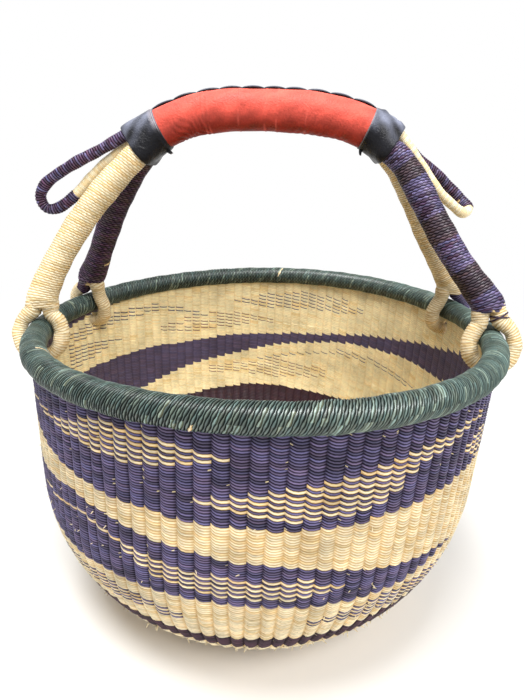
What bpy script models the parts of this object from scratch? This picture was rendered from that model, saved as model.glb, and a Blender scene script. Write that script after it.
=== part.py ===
"""Round basket twined from grass, with a bound rim and a leather-covered carrying handle.

Metres, +Z up. The origin is the middle of the flat base, on the surface the basket stands on.
X runs along the handle, and -Y is the side that faces a person who looks at the basket.
Names that end in share or shares are parts of another size and have no unit.
"""

import math

import bmesh
import bpy
from mathutils import Matrix, Vector
from mathutils.geometry import convex_hull_2d

# Clearances between pieces that touch, and how far a cutter runs past what it cuts
touch_gap = 0.0003
bore_margin = 0.0008
cut_overrun = 0.004

# Woven bowl
base_flat_radius = 0.098
wall_outer_radius = 0.18975
wall_thickness = 0.0055
rim_centre_height = 0.240
wall_radius_shares = (0.153, 0.327, 0.512, 0.698, 0.839, 0.934, 0.981, 0.992, 0.997, 1.0)
wall_height_shares = (0.015, 0.051, 0.1135, 0.201, 0.30, 0.403, 0.506, 0.604, 0.805, 1.0)
bowl_steps = 48

# Hand-made shape of the mouth: it leans up to the right, dips in a saddle, and is slightly oval
lean_right_share = 0.0345
lean_back_share = 0.0033
saddle_height = 0.0025
saddle_direction = math.radians(79)
oval_share = 0.0128
oval_direction = math.radians(-58)

# Rim: a bundle of grass, and the dyed grass wound round it and the wall's edge
rim_core_radius = 0.0063
rim_binding_radius = 0.00925
rim_core_sides = 8
rim_binding_steps = 11

# Foot loops: each leg forks over the rim, and its two halves meet in one loop through the wall
foot_radius = 0.0060
foot_binding_thickness = 0.0013
foot_bore_margin = 0.0007
foot_side_play = 0.0003
foot_fork_height = 0.0225
foot_neck_height = 0.0172
foot_flare_share = 0.45
foot_shoulder_angles = (math.radians(54), math.radians(29))
foot_under_steps = 6
foot_sides = 8
foot_span_steps = 1
lift_travel = 0.004
wall_hole_margin = 0.0015

# Angles round the rim at which the four legs stand, and how far each leans along the rim
foot_angles = {
    "front_left": math.radians(189.5),
    "back_left": math.radians(159.5),
    "front_right": math.radians(346),
    "back_right": math.radians(15.3),
}
foot_lean_share = 0.22

# How far each leg's fork stands inside the rim's centre line
fork_insets = {"front_left": 0.002, "back_left": 0.008, "front_right": 0.005, "back_right": 0.0065}

# Handle plane, which crosses the basket a little behind its middle and slightly turned
handle_offset_back = 0.0118
handle_turn = math.radians(-2.6)

# Grip: arch of the handle's axis, from collar mouth to collar mouth
grip_crown_height = 0.408
grip_reach_left = 0.1086
grip_reach_right = 0.0968
grip_drop_left = 0.0306
grip_drop_right = 0.0208
grip_arch_power = 2.9
collar_length_left = 0.0207
collar_length_right = 0.0199
grip_radius = 0.0155
leather_thickness = 0.0016
padding_bore_margin = 0.0008
twist_reach = 0.070
grip_sides = 20
grip_steps = 16

# Seam lace on top of the grip
lace_width = 0.009
lace_thickness = 0.0017
lace_turn = math.radians(12)

# Hoops: two long bundles, side by side in the grip, that cross there and run on as the four legs
hoop_offset_in_grip = 0.0062
hoop_radius_in_grip = 0.0058
hoop_radius_at_collar = 0.0077
hoop_radius_in_leg = 0.0087
leg_spread_at_collar = 0.0103
leg_sag_at_collar = 0.0062
leg_swell_length = 0.030
leg_binding_thickness = 0.0013
leg_bore_margin = 0.0006
leg_ankle_length = 0.014
hoop_sides = 10

# Bows of the legs: the two middle handles of each curve, as shares of its run outwards and down
leg_curve_shares = {
    "front_left": ((0.49, 0.32), (0.63, 0.46)),
    "back_left": ((0.72, 0.43), (0.87, 1.05)),
    "front_right": ((0.33, 0.11), (0.44, 0.67)),
    "back_right": ((0.42, 0.21), (0.57, 0.71)),
}
leg_curve_steps = 10
leg_start_share = 0.015

# Collars: leather bands over the places where the legs and the ear loops leave the grip
collar_thickness = 0.0013
collar_steps = 4

# Ear loops: a small loop of bound grass that hangs out of each collar
ear_core_radius = 0.0027
ear_purple_thickness = 0.0017
ear_natural_thickness = 0.0010
ear_tuck = 0.004
left_ear_strands = ((-0.0034, 0.0118), (0.0024, 0.0052))
right_ear_strands = ((-0.0046, 0.0079), (0.0047, 0.0079))
ear_spread_left = 0.006
ear_spread_right = 0.014
ear_sides = 7
ear_span_steps = 2

# Reach and drop of the ear loops, as shares of the legs' run outwards and down from the same collar
left_ear_size_shares = (1.0855, 0.3755)
right_ear_size_shares = (0.765, 0.3383)

# Points of the ear loops outside the collar, from the upper strand to the lower one:
# shares of the loop's reach, drop and spread
left_ear_shares = (
    (0.36, 0.07, -0.5), (0.57, 0.24, -0.5), (0.78, 0.44, -0.5), (0.93, 0.62, -0.4), (1.0, 0.82, -0.2),
    (0.955, 1.0, 0.0), (0.83, 0.98, 0.2), (0.65, 0.76, 0.4), (0.48, 0.47, 0.5), (0.33, 0.25, 0.5),
)
left_ear_change = 7
right_ear_shares = (
    (0.33, 0.27, -0.3), (0.56, 0.65, -0.3), (0.79, 0.90, -0.2), (0.93, 1.0, 0.1), (1.0, 0.93, 0.5),
    (0.92, 0.80, 0.9), (0.76, 0.60, 1.0), (0.58, 0.41, 0.85), (0.38, 0.24, 0.6),
)
right_ear_change = 4

NATURAL = ("natural_grass", (0.78, 0.60, 0.33), 0.65)
PURPLE = ("purple_grass", (0.055, 0.045, 0.105), 0.6)
GREEN = ("green_grass", (0.050, 0.085, 0.075), 0.55)
STRAW = ("plain_straw", (0.62, 0.46, 0.25), 0.75)
RED_LEATHER = ("red_leather", (0.62, 0.10, 0.055), 0.38)
BLACK_LEATHER = ("black_leather", (0.018, 0.018, 0.024), 0.42)


def finish(kind):
    """The material of one kind, made the first time it is asked for."""
    name, colour, roughness = kind
    material = bpy.data.materials.get(name)
    if material is None:
        material = bpy.data.materials.new(name)
        material.use_nodes = True
        shader = material.node_tree.nodes["Principled BSDF"]
        shader.inputs["Base Color"].default_value = (*colour, 1.0)
        shader.inputs["Roughness"].default_value = roughness
        shader.inputs["Metallic"].default_value = 0.0
    return material


def add_object(name, body, kind, parent=None):
    """Turns a finished bmesh into a smooth-shaded object with its material."""
    bmesh.ops.recalc_face_normals(body, faces=body.faces)
    mesh = bpy.data.meshes.new(name)
    body.to_mesh(mesh)
    body.free()
    mesh.shade_smooth()
    mesh.set_sharp_from_angle(angle=math.radians(40))
    mesh.materials.append(finish(kind))
    made = bpy.data.objects.new(name, mesh)
    bpy.context.collection.objects.link(made)
    made.parent = parent
    return made


def add_ring(body, places):
    """Adds a closed ring of vertices and edges to a bmesh."""
    ring = [body.verts.new(place) for place in places]
    for here, there in zip(ring, ring[1:] + ring[:1]):
        body.edges.new((here, there))
    return ring


def ring_edges(body, ring):
    """The edges that join a ring's vertices in order."""
    return [body.edges.get((here, there)) for here, there in zip(ring, ring[1:] + ring[:1])]


def extrude_ring(body, ring, places):
    """Extrudes a ring and moves its copy to new places."""
    made = bmesh.ops.extrude_edge_only(body, edges=ring_edges(body, ring))["geom"]
    fresh = {item for item in made if isinstance(item, bmesh.types.BMVert)}
    copies = []
    for vertex, place in zip(ring, places):
        copy = next(edge.other_vert(vertex) for edge in vertex.link_edges if edge.other_vert(vertex) in fresh)
        copy.co = place
        copies.append(copy)
    return copies


def loft(rings, loop=False):
    """Skins a row of rings: with flat ends, or joined end to end where loop is set."""
    body = bmesh.new()
    first = add_ring(body, rings[0])
    last = first
    for places in rings[1:]:
        last = extrude_ring(body, last, places)
    if loop:
        bmesh.ops.bridge_loops(body, edges=ring_edges(body, last) + ring_edges(body, first))
    else:
        body.faces.new(first)
        body.faces.new(last)
    return body


def sleeve(outer_rings, inner_rings):
    """An open-ended tube wall between two rows of rings."""
    return loft(outer_rings + inner_rings[::-1], loop=True)


def unit_circle(sides):
    """Points of a regular outline of radius 1."""
    turns = [2 * math.pi * step / sides for step in range(sides)]
    return [Vector((math.cos(turn), math.sin(turn))) for turn in turns]


def frame_at(tangent, reference):
    """Two directions square to a tangent: the first near the reference, the second beside it."""
    along = tangent.normalized()
    side = (reference - along * reference.dot(along)).normalized()
    return side, along.cross(side)


def round_ring(centre, tangent, reference, radius, sides):
    """A round ring square to the tangent."""
    side, other = frame_at(tangent, reference)
    return [centre + (side * point.x + other * point.y) * radius for point in unit_circle(sides)]


def smooth_row(points, steps):
    """A smooth row through all the points, with so many steps in each span."""
    padded = [points[0] * 2 - points[1]] + list(points) + [points[-1] * 2 - points[-2]]
    row = []
    for before, here, there, after in zip(padded, padded[1:], padded[2:], padded[3:]):
        for step in range(steps):
            part = step / steps
            rise = (there - before) * part
            bend = (before * 2 - here * 5 + there * 4 - after) * part ** 2
            turn = (here * 3 - before - there * 3 + after) * part ** 3
            row.append(here + (rise + bend + turn) / 2)
    row.append(points[-1].copy())
    return row


def tangents(row):
    """Direction of a row at each of its points."""
    last = len(row) - 1
    return [row[min(at + 1, last)] - row[max(at - 1, 0)] for at in range(len(row))]


def blend(start, end, part):
    """The value or place so far along from start to end."""
    return start + (end - start) * part


def ease(part):
    """A share from 0 to 1 that starts and ends gently."""
    part = min(max(part, 0.0), 1.0)
    return part * part * (3 - 2 * part)


def settled(place):
    """Where a point of the level, round bowl lies once the mouth leans, dips and is oval."""
    rise = place.z / rim_centre_height
    turn = math.atan2(place.y, place.x)
    swell = 1 + oval_share * rise * math.cos(2 * (turn - oval_direction))
    dip = saddle_height * math.cos(2 * (turn - saddle_direction))
    lean = lean_right_share * place.x + lean_back_share * place.y
    return Vector((place.x * swell, place.y * swell, place.z + (lean + dip) * rise))


def level_point(radius, angle, height):
    """A point of the level bowl by its radius, angle and height."""
    return Vector((radius * math.cos(angle), radius * math.sin(angle), height))


rim_centre_radius = wall_outer_radius - wall_thickness / 2
leather_reach_left = grip_reach_left - collar_length_left
leather_reach_right = grip_reach_right - collar_length_right


def rim_point(angle):
    """Centre of the rim at an angle."""
    return settled(level_point(rim_centre_radius, angle, rim_centre_height))


def rim_frame(angle):
    """Centre of the rim, its direction, the outward direction and the upward one."""
    nudge = math.pi / bowl_steps
    along = (rim_point(angle + nudge) - rim_point(angle - nudge)).normalized()
    outward = along.cross(Vector((0, 0, 1))).normalized()
    return rim_point(angle), along, outward, outward.cross(along)


def rim_angles():
    """The angles at which the bowl and the rim have their edges."""
    return [2 * math.pi * step / bowl_steps for step in range(bowl_steps)]


def wall_outline():
    """Outer side of the wall from the base's edge up, then the inner side back down."""
    top = rim_centre_height - rim_core_radius - touch_gap
    outer = [Vector((base_flat_radius, 0))]
    for radius_share, height_share in zip(wall_radius_shares, wall_height_shares):
        radius = blend(base_flat_radius, wall_outer_radius, radius_share)
        outer.append(Vector((radius, top * height_share)))
    inner = []
    for point, slope in zip(outer, tangents(outer)):
        inward = Vector((-slope.y, slope.x)).normalized()
        inner.append(point + inward * wall_thickness)
    inner[0] = Vector((base_flat_radius, wall_thickness))
    inner[-1] = Vector((wall_outer_radius - wall_thickness, top))
    return outer + inner[::-1]


def make_bowl():
    """Woven wall and base in one, open at the top, with a slit for each foot loop."""
    rings = []
    for point in wall_outline():
        rings.append([settled(level_point(point.x, angle, point.y)) for angle in rim_angles()])
    bowl = add_object("woven_bowl", loft(rings), NATURAL)
    for name in foot_angles:
        cut = bowl.modifiers.new("slit_" + name, "BOOLEAN")
        cut.operation = "DIFFERENCE"
        cut.solver = "EXACT"
        cut.object = make_slit_cutter(name)
    return bowl


def make_slit_cutter(name):
    """Upright slit through the wall below the rim, long enough for the loop to rise in."""
    centre, along, outward, up = rim_frame(foot_angles[name])
    slit_radius = foot_radius + wall_hole_margin
    low = foot_low()
    outline = []
    for point in unit_circle(foot_sides * 2):
        height = point.y * slit_radius + (low + lift_travel if point.y > 0 else low)
        outline.append((point.x * slit_radius + low * foot_lean(name), height))
    reach = wall_thickness / 2 + cut_overrun
    rings = []
    for depth in (-reach, reach):
        rings.append([centre + outward * depth + along * side + up * height for side, height in outline])
    cutter = add_object("slit_cutter_" + name, loft(rings), NATURAL)
    cutter.hide_render = True
    cutter.display_type = "WIRE"
    return cutter


def make_rim():
    """The grass bundle of the rim, and the winding that clasps it and the wall's edge."""
    core_rings = []
    binding_rings = []
    slot_half = wall_thickness / 2 + touch_gap
    inner_radius = rim_core_radius + touch_gap
    clasp = []
    for radius, order in ((rim_binding_radius, 1), (inner_radius, -1)):
        opening = math.asin(slot_half / radius)
        sweep = 2 * math.pi - 2 * opening
        arc = [-math.pi / 2 + opening + sweep * step / rim_binding_steps for step in range(rim_binding_steps + 1)]
        clasp += [(radius * math.cos(turn), radius * math.sin(turn)) for turn in arc[::order]]
    for angle in rim_angles():
        centre, along, outward, up = rim_frame(angle)
        core_rings.append(round_ring(centre, along, outward, rim_core_radius, rim_core_sides))
        binding_rings.append([centre + outward * across + up * height for across, height in clasp])
    add_object("rim_core", loft(core_rings, loop=True), STRAW)
    add_object("rim_binding", loft(binding_rings, loop=True), GREEN)


def foot_seat():
    """Distance from the rim's centre to a foot loop's centre where the two touch."""
    return rim_binding_radius + touch_gap + foot_radius


def foot_under_radius():
    """Radius of the loop's lower half, whose straight steps just clear the rim when the loop is raised."""
    return (foot_seat() + foot_side_play) / math.cos(math.pi / (2 * foot_under_steps))


def foot_low():
    """Height of a foot loop's lowest point, against the rim's centre."""
    return -(foot_under_radius() + lift_travel)


def foot_lean(name):
    """How far a foot loop leans along the rim, towards the handle's middle, for its height."""
    centre, along, _, _ = rim_frame(foot_angles[name])
    inwards = Vector((0, handle_offset_back - centre.y, 0))
    return foot_lean_share * math.copysign(1, inwards.dot(along))


def foot_place(name, across, height):
    """A point of a foot loop's own plane."""
    centre, along, outward, up = rim_frame(foot_angles[name])
    return centre + outward * across + (up + along * foot_lean(name)) * height


def fork_place(name, height):
    """A point straight above or below the middle of a leg's fork, by its height over the fork."""
    return foot_place(name, -fork_insets[name], foot_fork_height + height)


def foot_half(name, side):
    """Points of one half of a foot loop: side 1 runs over the rim, side -1 drops inside it."""
    neck = side * (foot_radius + touch_gap / 2) - fork_insets[name]
    flare = fork_insets[name] * foot_flare_share if side > 0 else 0.0
    shoulder = foot_seat() + touch_gap
    points = [(neck, foot_fork_height), (neck + flare, foot_neck_height)]
    for turn in foot_shoulder_angles:
        across = side * shoulder * math.cos(turn)
        points.append((min(across, neck) if side < 0 else across, shoulder * math.sin(turn)))
    points.append((side * foot_under_radius(), 0))
    for step in range(foot_under_steps // 2):
        turn = math.pi * step / foot_under_steps
        across = side * foot_under_radius() * math.cos(turn)
        points.append((across, -lift_travel - foot_under_radius() * math.sin(turn)))
    return points


def foot_row(name):
    """Centre line of a foot loop, from the outer half's top, under the rim, to the inner one's."""
    points = foot_half(name, 1) + [(0, foot_low())] + foot_half(name, -1)[::-1]
    return smooth_row([foot_place(name, across, height) for across, height in points], foot_span_steps)


def make_foot_loop(name, kind, parent):
    """Bundle and winding of the loop by which one leg holds the rim."""
    row = foot_row(name)
    slopes = tangents(row)
    slopes[0] = foot_place(name, 0, 0) - foot_place(name, 0, 1)
    slopes[-1] = -slopes[0]
    _, along, _, _ = rim_frame(foot_angles[name])
    bore_radius = foot_radius - foot_binding_thickness
    radii = (bore_radius - foot_bore_margin, bore_radius, foot_radius)
    core, inner, outer = [
        [round_ring(at, slope, along, radius, foot_sides) for at, slope in zip(row, slopes)]
        for radius in radii
    ]
    add_object("foot_core_" + name, loft(core), STRAW, parent)
    add_object("foot_binding_" + name, sleeve(outer, inner), kind, parent)


def handle_point(along, across, height):
    """A point by its place in the handle's own plane, with across running backwards."""
    turned = Matrix.Rotation(handle_turn, 3, "Z") @ Vector((along, across, height))
    return turned + Vector((0, handle_offset_back, 0))


def grip_side(along):
    """Reach and drop of the side of the arch that a place along the handle is on."""
    if along < 0:
        return grip_reach_left, grip_drop_left
    return grip_reach_right, grip_drop_right


def arch_height(along):
    """Height of the handle's axis."""
    reach, drop = grip_side(along)
    return grip_crown_height - drop * abs(along / reach) ** grip_arch_power


def grip_frame(along):
    """Centre of the grip, its direction, the backward direction and the upward one."""
    reach, drop = grip_side(along)
    slope = -math.copysign(drop * grip_arch_power / reach, along) * abs(along / reach) ** (grip_arch_power - 1)
    centre = handle_point(along, 0, arch_height(along))
    tangent = (handle_point(1, 0, slope) - handle_point(0, 0, 0)).normalized()
    back = (handle_point(0, 1, 0) - handle_point(0, 0, 0)).normalized()
    return centre, tangent, back, back.cross(tangent) * -1


def grip_places(start, end, steps):
    """Evenly spread places along the grip."""
    return [blend(start, end, step / steps) for step in range(steps + 1)]


def leather_places():
    """Places along the grip at which everything under the leather has its rings."""
    return grip_places(-leather_reach_left, leather_reach_right, grip_steps)


def twist_angle(along):
    """How far the pair of hoops has turned round the grip's axis."""
    return math.pi * ease((along + twist_reach) / (2 * twist_reach))


def pair_offset(along, order):
    """Place of one hoop beside the grip's axis: order -1 starts at the front on the left."""
    turn = twist_angle(along)
    return Vector((math.cos(turn) * hoop_offset_in_grip * order, math.sin(turn) * hoop_offset_in_grip * -order))


def collar_part(along):
    """How far a place lies from the end of the leather to the mouth of the collar."""
    start = leather_reach_left if along < 0 else leather_reach_right
    return min(max((abs(along) - start) / (grip_side(along)[0] - start), 0.0), 1.0)


def hoop_in_grip(along, order):
    """Centre of a hoop inside the grip or a collar."""
    centre, _, back, up = grip_frame(along)
    across, height = pair_offset(along, order)
    side = math.copysign(1, across)
    part = collar_part(along)
    across = blend(across, side * leg_spread_at_collar, part)
    height = blend(height, -leg_sag_at_collar, part)
    return centre + back * across + up * height


def curve_point(handles, part):
    """A point so far along the smooth curve that a row of handles draws."""
    while len(handles) > 1:
        handles = [blend(here, there, part) for here, there in zip(handles, handles[1:])]
    return handles[0]


def leg_row(name, start):
    """Points of a leg's centre line, from just outside its collar down to the fork."""
    fork = fork_place(name, touch_gap)
    run = fork - start
    handles = [start]
    for out_share, down_share in leg_curve_shares[name]:
        handles.append(start + Vector((run.x * out_share, run.y * down_share, run.z * down_share)))
    handles += [fork_place(name, touch_gap + leg_ankle_length), fork]
    parts = [leg_start_share] + [step / leg_curve_steps for step in range(1, leg_curve_steps + 1)]
    return [curve_point(handles, part) for part in parts]


def hoop_rail(left, right, order):
    """Centre line and radii of a hoop from its left fork to its right one, and where its mouths are."""
    places = grip_places(-grip_reach_left, -leather_reach_left, collar_steps)[:-1]
    places += leather_places()
    places += grip_places(leather_reach_right, grip_reach_right, collar_steps)[1:]
    inside = [hoop_in_grip(at, order) for at in places]
    middle_radii = [blend(hoop_radius_in_grip, hoop_radius_at_collar, collar_part(at)) for at in places]
    down_left = leg_row(left, inside[0])[::-1]
    down_right = leg_row(right, inside[-1])
    radii = leg_radii(down_left, inside[0]) + middle_radii + leg_radii(down_right, inside[-1])
    return down_left + inside + down_right, radii, len(down_left), len(down_left) + len(inside) - 1


def leg_radii(row, mouth):
    """Radius of a hoop's bundle at each point of a leg, which is fuller than in the grip."""
    swells = [ease((place - mouth).length / leg_swell_length) for place in row]
    return [blend(hoop_radius_at_collar, hoop_radius_in_leg, swell) for swell in swells]


def make_hoop(name, left, right, order, kind, parent):
    """One hoop of the handle: its bundle from fork to fork, and the winding on its two legs."""
    row, radii, left_mouth, right_mouth = hoop_rail(left, right, order)
    slopes = tangents(row)
    slopes[0] = foot_place(left, 0, 1) - foot_place(left, 0, 0)
    slopes[-1] = foot_place(right, 0, 0) - foot_place(right, 0, 1)
    back = handle_point(0, 1, 0) - handle_point(0, 0, 0)

    def rings(places, growth):
        return [round_ring(row[at], slopes[at], back, radii[at] + growth, hoop_sides) for at in places]

    add_object(name, loft(rings(range(len(row)), 0)), STRAW, parent)
    legs = ((left, range(left_mouth)), (right, range(right_mouth + 1, len(row))))
    for leg, places in legs:
        outer = rings(places, leg_bore_margin + leg_binding_thickness)
        add_object("leg_binding_" + leg, sleeve(outer, rings(places, leg_bore_margin)), kind, parent)


def outline_ring(along, outline):
    """A ring of the grip from points beside its axis, given as backward and upward offsets."""
    centre, _, back, up = grip_frame(along)
    return [centre + back * point.x + up * point.y for point in outline]


def hull_outline(circles, growth, sides):
    """Outline of a band drawn tight round some circles, at even turns round the middle."""
    points = []
    for across, height, radius in circles:
        middle = Vector((across, height))
        points += [middle + point * (radius + growth) for point in unit_circle(sides * 2)]
    hull = [points[at] for at in convex_hull_2d(points)]
    outline = []
    for ray in unit_circle(sides):
        reach = 0.0
        for here, there in zip(hull, hull[1:] + hull[:1]):
            edge = there - here
            spread = ray.x * edge.y - ray.y * edge.x
            if spread == 0:
                continue
            share = (here.y * ray.x - here.x * ray.y) / -spread
            distance = (here.x * edge.y - here.y * edge.x) / spread
            if 0 <= share <= 1 and distance > reach:
                reach = distance
        outline.append(ray * reach)
    return outline


def make_grip(parent):
    """Padding round the crossing hoops, the leather sewn over it, and the lace along its seam."""
    places = leather_places()
    circle = unit_circle(grip_sides)
    leather_bore = grip_radius - leather_thickness
    bores = []
    for along in places:
        pair = [pair_offset(along, order) for order in (-1, 1)]
        circles = [(offset.x, offset.y, hoop_radius_in_grip) for offset in pair]
        bores.append(outline_ring(along, hull_outline(circles, padding_bore_margin, grip_sides)))
    radii = (leather_bore - touch_gap, leather_bore, grip_radius)
    padding, inner, outer = [
        [outline_ring(along, [point * radius for point in circle]) for along in places] for radius in radii
    ]
    add_object("grip_padding", sleeve(padding, bores), STRAW, parent)
    add_object("grip_leather", sleeve(outer, inner), RED_LEATHER, parent)
    lace_seat = grip_radius + touch_gap
    half_turn = lace_width / 2 / lace_seat
    section = []
    for radius, order in ((lace_seat + lace_thickness, 1), (lace_seat, -1)):
        for side in (-1, 0, 1):
            turn = lace_turn + half_turn * side * order
            section.append(Vector((math.sin(turn) * radius, math.cos(turn) * radius)))
    add_object("grip_lace", loft([outline_ring(along, section) for along in places]), BLACK_LEATHER, parent)


def make_collar(name, start, end, strands, parent):
    """Leather band that runs from the end of the grip's leather to the mouth where the legs part."""
    leg_radius = hoop_radius_at_collar + leg_binding_thickness + leg_bore_margin
    ear_radius = ear_core_radius + ear_purple_thickness + touch_gap
    mouth = [(side * leg_spread_at_collar, -leg_sag_at_collar, leg_radius) for side in (-1, 1)]
    mouth += [(across, height, ear_radius) for across, height in strands]
    bore_start = grip_radius - collar_thickness
    circle = unit_circle(grip_sides)
    mouth_bore = hull_outline(mouth, bore_margin, grip_sides)
    mouth_skin = hull_outline(mouth, bore_margin + collar_thickness, grip_sides)
    outer = []
    inner = []
    for step in range(collar_steps + 1):
        part = step / collar_steps
        along = blend(start, end, part)
        for rings, radius, outline in ((outer, grip_radius, mouth_skin), (inner, bore_start, mouth_bore)):
            mixed = [blend(point * radius, goal, ease(part)) for point, goal in zip(circle, outline)]
            rings.append(outline_ring(along, mixed))
    add_object(name, sleeve(outer, inner), BLACK_LEATHER, parent)


def ear_row(mouth, size_shares, spread, strands, shares):
    """Centre line of an ear loop, from inside the collar, out round the loop and back in."""
    centre, tangent, back, up = grip_frame(mouth)
    outward = tangent * math.copysign(1, mouth)
    reach = (rim_centre_radius - abs(mouth)) * size_shares[0]
    drop = (arch_height(mouth) - rim_centre_height) * size_shares[1]
    start, end = [centre + back * across + up * height for across, height in strands]
    points = [start - outward * ear_tuck, start]
    for reach_share, drop_share, spread_share in shares:
        along = mouth + math.copysign(reach, mouth) * reach_share
        height = arch_height(mouth) - drop * drop_share
        points.append(handle_point(along, spread * spread_share, height))
    points += [end, end - outward * ear_tuck]
    return points


def make_ear(side, points, change, first_kind, parent):
    """Bundle of an ear loop, and its two windings, which meet where the colour changes."""
    row = points[:1] + smooth_row(points[1:-1], ear_span_steps) + points[-1:]
    slopes = tangents(row)
    back = handle_point(0, 1, 0) - handle_point(0, 0, 0)
    turning = []
    reference = back
    for slope in slopes:
        reference, _ = frame_at(slope, reference)
        turning.append(reference)

    def rings(places, radius):
        return [round_ring(row[at], slopes[at], turning[at], radius, ear_sides) for at in places]

    add_object("ear_core_" + side, loft(rings(range(len(row)), ear_core_radius)), STRAW, parent)
    split = (change + 1) * ear_span_steps + 1
    thickness = {PURPLE: ear_purple_thickness, NATURAL: ear_natural_thickness}
    second_kind = NATURAL if first_kind == PURPLE else PURPLE
    halves = ((first_kind, range(split + 1)), (second_kind, range(split, len(row))))
    for kind, places in halves:
        bore = ear_core_radius + touch_gap
        outer = rings(places, bore + thickness[kind])
        inner = rings(places, bore)
        if places.start == split:
            parting = slopes[split].normalized() * touch_gap
            outer[0] = [place + parting for place in outer[0]]
            inner[0] = [place + parting for place in inner[0]]
        label = kind[0].split("_")[0]
        add_object("ear_binding_" + label + "_" + side, sleeve(outer, inner), kind, parent)


def make_handle():
    """The carrying handle, which rises and falls by the play of its loops under the rim."""
    lift = bpy.data.objects.new("handle_lift", None)
    bpy.context.collection.objects.link(lift)
    for name, kind in (
        ("front_left", NATURAL), ("back_left", NATURAL), ("front_right", NATURAL), ("back_right", NATURAL),
    ):
        make_foot_loop(name, kind, lift)
    make_hoop("hoop_core_natural", "front_left", "back_right", -1, NATURAL, lift)
    make_hoop("hoop_core_purple", "back_left", "front_right", 1, PURPLE, lift)
    make_grip(lift)
    make_collar("collar_left", -leather_reach_left - touch_gap, -grip_reach_left, left_ear_strands, lift)
    make_collar("collar_right", leather_reach_right + touch_gap, grip_reach_right, right_ear_strands, lift)
    left_points = ear_row(
        -grip_reach_left, left_ear_size_shares, ear_spread_left, left_ear_strands, left_ear_shares
    )
    right_points = ear_row(
        grip_reach_right, right_ear_size_shares, ear_spread_right, right_ear_strands, right_ear_shares
    )
    make_ear("left", left_points, left_ear_change, PURPLE, lift)
    make_ear("right", right_points, right_ear_change, NATURAL, lift)


for leftover in list(bpy.data.objects):
    bpy.data.objects.remove(leftover, do_unlink=True)
make_bowl()
make_rim()
make_handle()
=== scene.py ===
"""Looks of a round basket twined from dyed grass, with a bound rim and a leather-covered carrying handle.

Metres, +Z up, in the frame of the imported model: the origin is the middle of the flat base.
Down the wall, distances run from the wall's top; round it, angles run from +X towards +Y.
"""

import logging
import math
from dataclasses import dataclass
from enum import Enum

import bmesh
import bpy
import numpy as np
from mathutils import Matrix, Vector
from mathutils.geometry import convex_hull_2d


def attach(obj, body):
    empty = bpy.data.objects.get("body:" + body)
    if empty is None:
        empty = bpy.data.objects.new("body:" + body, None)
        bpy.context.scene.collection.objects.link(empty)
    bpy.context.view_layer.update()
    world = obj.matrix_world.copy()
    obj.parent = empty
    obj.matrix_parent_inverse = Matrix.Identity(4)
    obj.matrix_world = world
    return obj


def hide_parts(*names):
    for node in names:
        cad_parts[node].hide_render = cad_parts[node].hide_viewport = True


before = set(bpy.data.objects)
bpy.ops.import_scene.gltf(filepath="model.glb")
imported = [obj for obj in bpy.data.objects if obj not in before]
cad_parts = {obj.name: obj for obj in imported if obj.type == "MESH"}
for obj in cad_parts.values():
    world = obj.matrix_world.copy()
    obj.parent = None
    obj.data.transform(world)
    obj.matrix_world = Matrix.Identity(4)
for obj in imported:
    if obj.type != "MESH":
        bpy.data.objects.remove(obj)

log = logging.getLogger("basket")
logging.basicConfig(level=logging.INFO, format="%(name)s: %(message)s")

BASKET = "basket"
HANDLE = "handle"
MM = 0.001
Rows = np.ndarray
Points = list[Vector]
Path2D = tuple[tuple[float, float], ...]
# Painted shade in the gaps beside dark and pale grass, as factors of its colour
DARK_GAP_SHADE = (0.03, 0.03, 0.035)
PALE_GAP_SHADE = (0.60, 0.44, 0.27)
LEAN_SHARES = (0.22, 0.0, -0.16)
# Factors for the inner side of the wall: pale grass painted lighter and warmer as light bounced round inside the bowl,
# dark grass made darker
INNER_DARK = (0.66, 0.62, 0.60)
INNER_PALE_BOUNCE_LIGHT = (1.13, 1.11, 0.99)


class Dye(Enum):
    """Colours of the grass, as the eye sees them in plain light."""

    NATURAL = (0.93, 0.89, 0.765)
    TAN = (0.90, 0.825, 0.65)
    PURPLE = (0.42, 0.38, 0.53)
    MAROON = (0.345, 0.24, 0.35)
    WINE = (0.285, 0.17, 0.23)
    GREEN = (0.33, 0.395, 0.365)
    PALE_GREEN = (0.48, 0.555, 0.52)
    PINK_TAN = (0.62, 0.45, 0.42)
    BROWN = (0.33, 0.265, 0.30)


def linear(colour: tuple[float, ...]) -> np.ndarray:
    """A colour as the eye sees it, turned into light values."""
    seen = np.asarray(colour, dtype=float)
    return np.where(seen <= 0.04045, seen / 12.92, ((seen + 0.055) / 1.055) ** 2.4)


def paleness(colours: Rows) -> Rows:
    """0 for dark dyed grass, 1 for pale grass."""
    return np.clip((colours.mean(axis=-1) - 0.15) / 0.30, 0, 1)[..., None]


def gap_shade_tints(colours: Rows) -> Rows:
    """The shade painted into the gaps beside each grass: warm and light on pale grass, near black on dark.

    Args:
        colours: Colours of the grass, in light values.

    Returns:
        A factor for each colour's channels.
    """
    return np.array(DARK_GAP_SHADE) + (np.array(PALE_GAP_SHADE) - np.array(DARK_GAP_SHADE)) * paleness(colours)


def tone_noise(colours: Rows, chance: Rows, spread: float) -> Rows:
    """Gives each strand its own tone, and leans it to red or to blue.

    Args:
        colours: Colours of the grass, in light values.
        chance: A value from 0 to 1 for each.
        spread: How much lighter or darker a strand may be.

    Returns:
        The changed colours.
    """
    dark = 1 - 0.72 * paleness(colours)
    lean = (np.mod(chance * 7.31, 1.0)[..., None] - 0.5) * dark
    tone = 1 + spread * (chance - 0.5)[..., None] * dark
    return colours * tone * (1 + lean * np.array(LEAN_SHARES))


def blend(start: float | Vector, end: float | Vector, part: float) -> float | Vector:
    """The value or place so far along from start to end."""
    return start + (end - start) * part


def ease(part: float) -> float:
    """A share from 0 to 1 that starts and ends gently."""
    part = min(max(part, 0.0), 1.0)
    return part * part * (3 - 2 * part)


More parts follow.
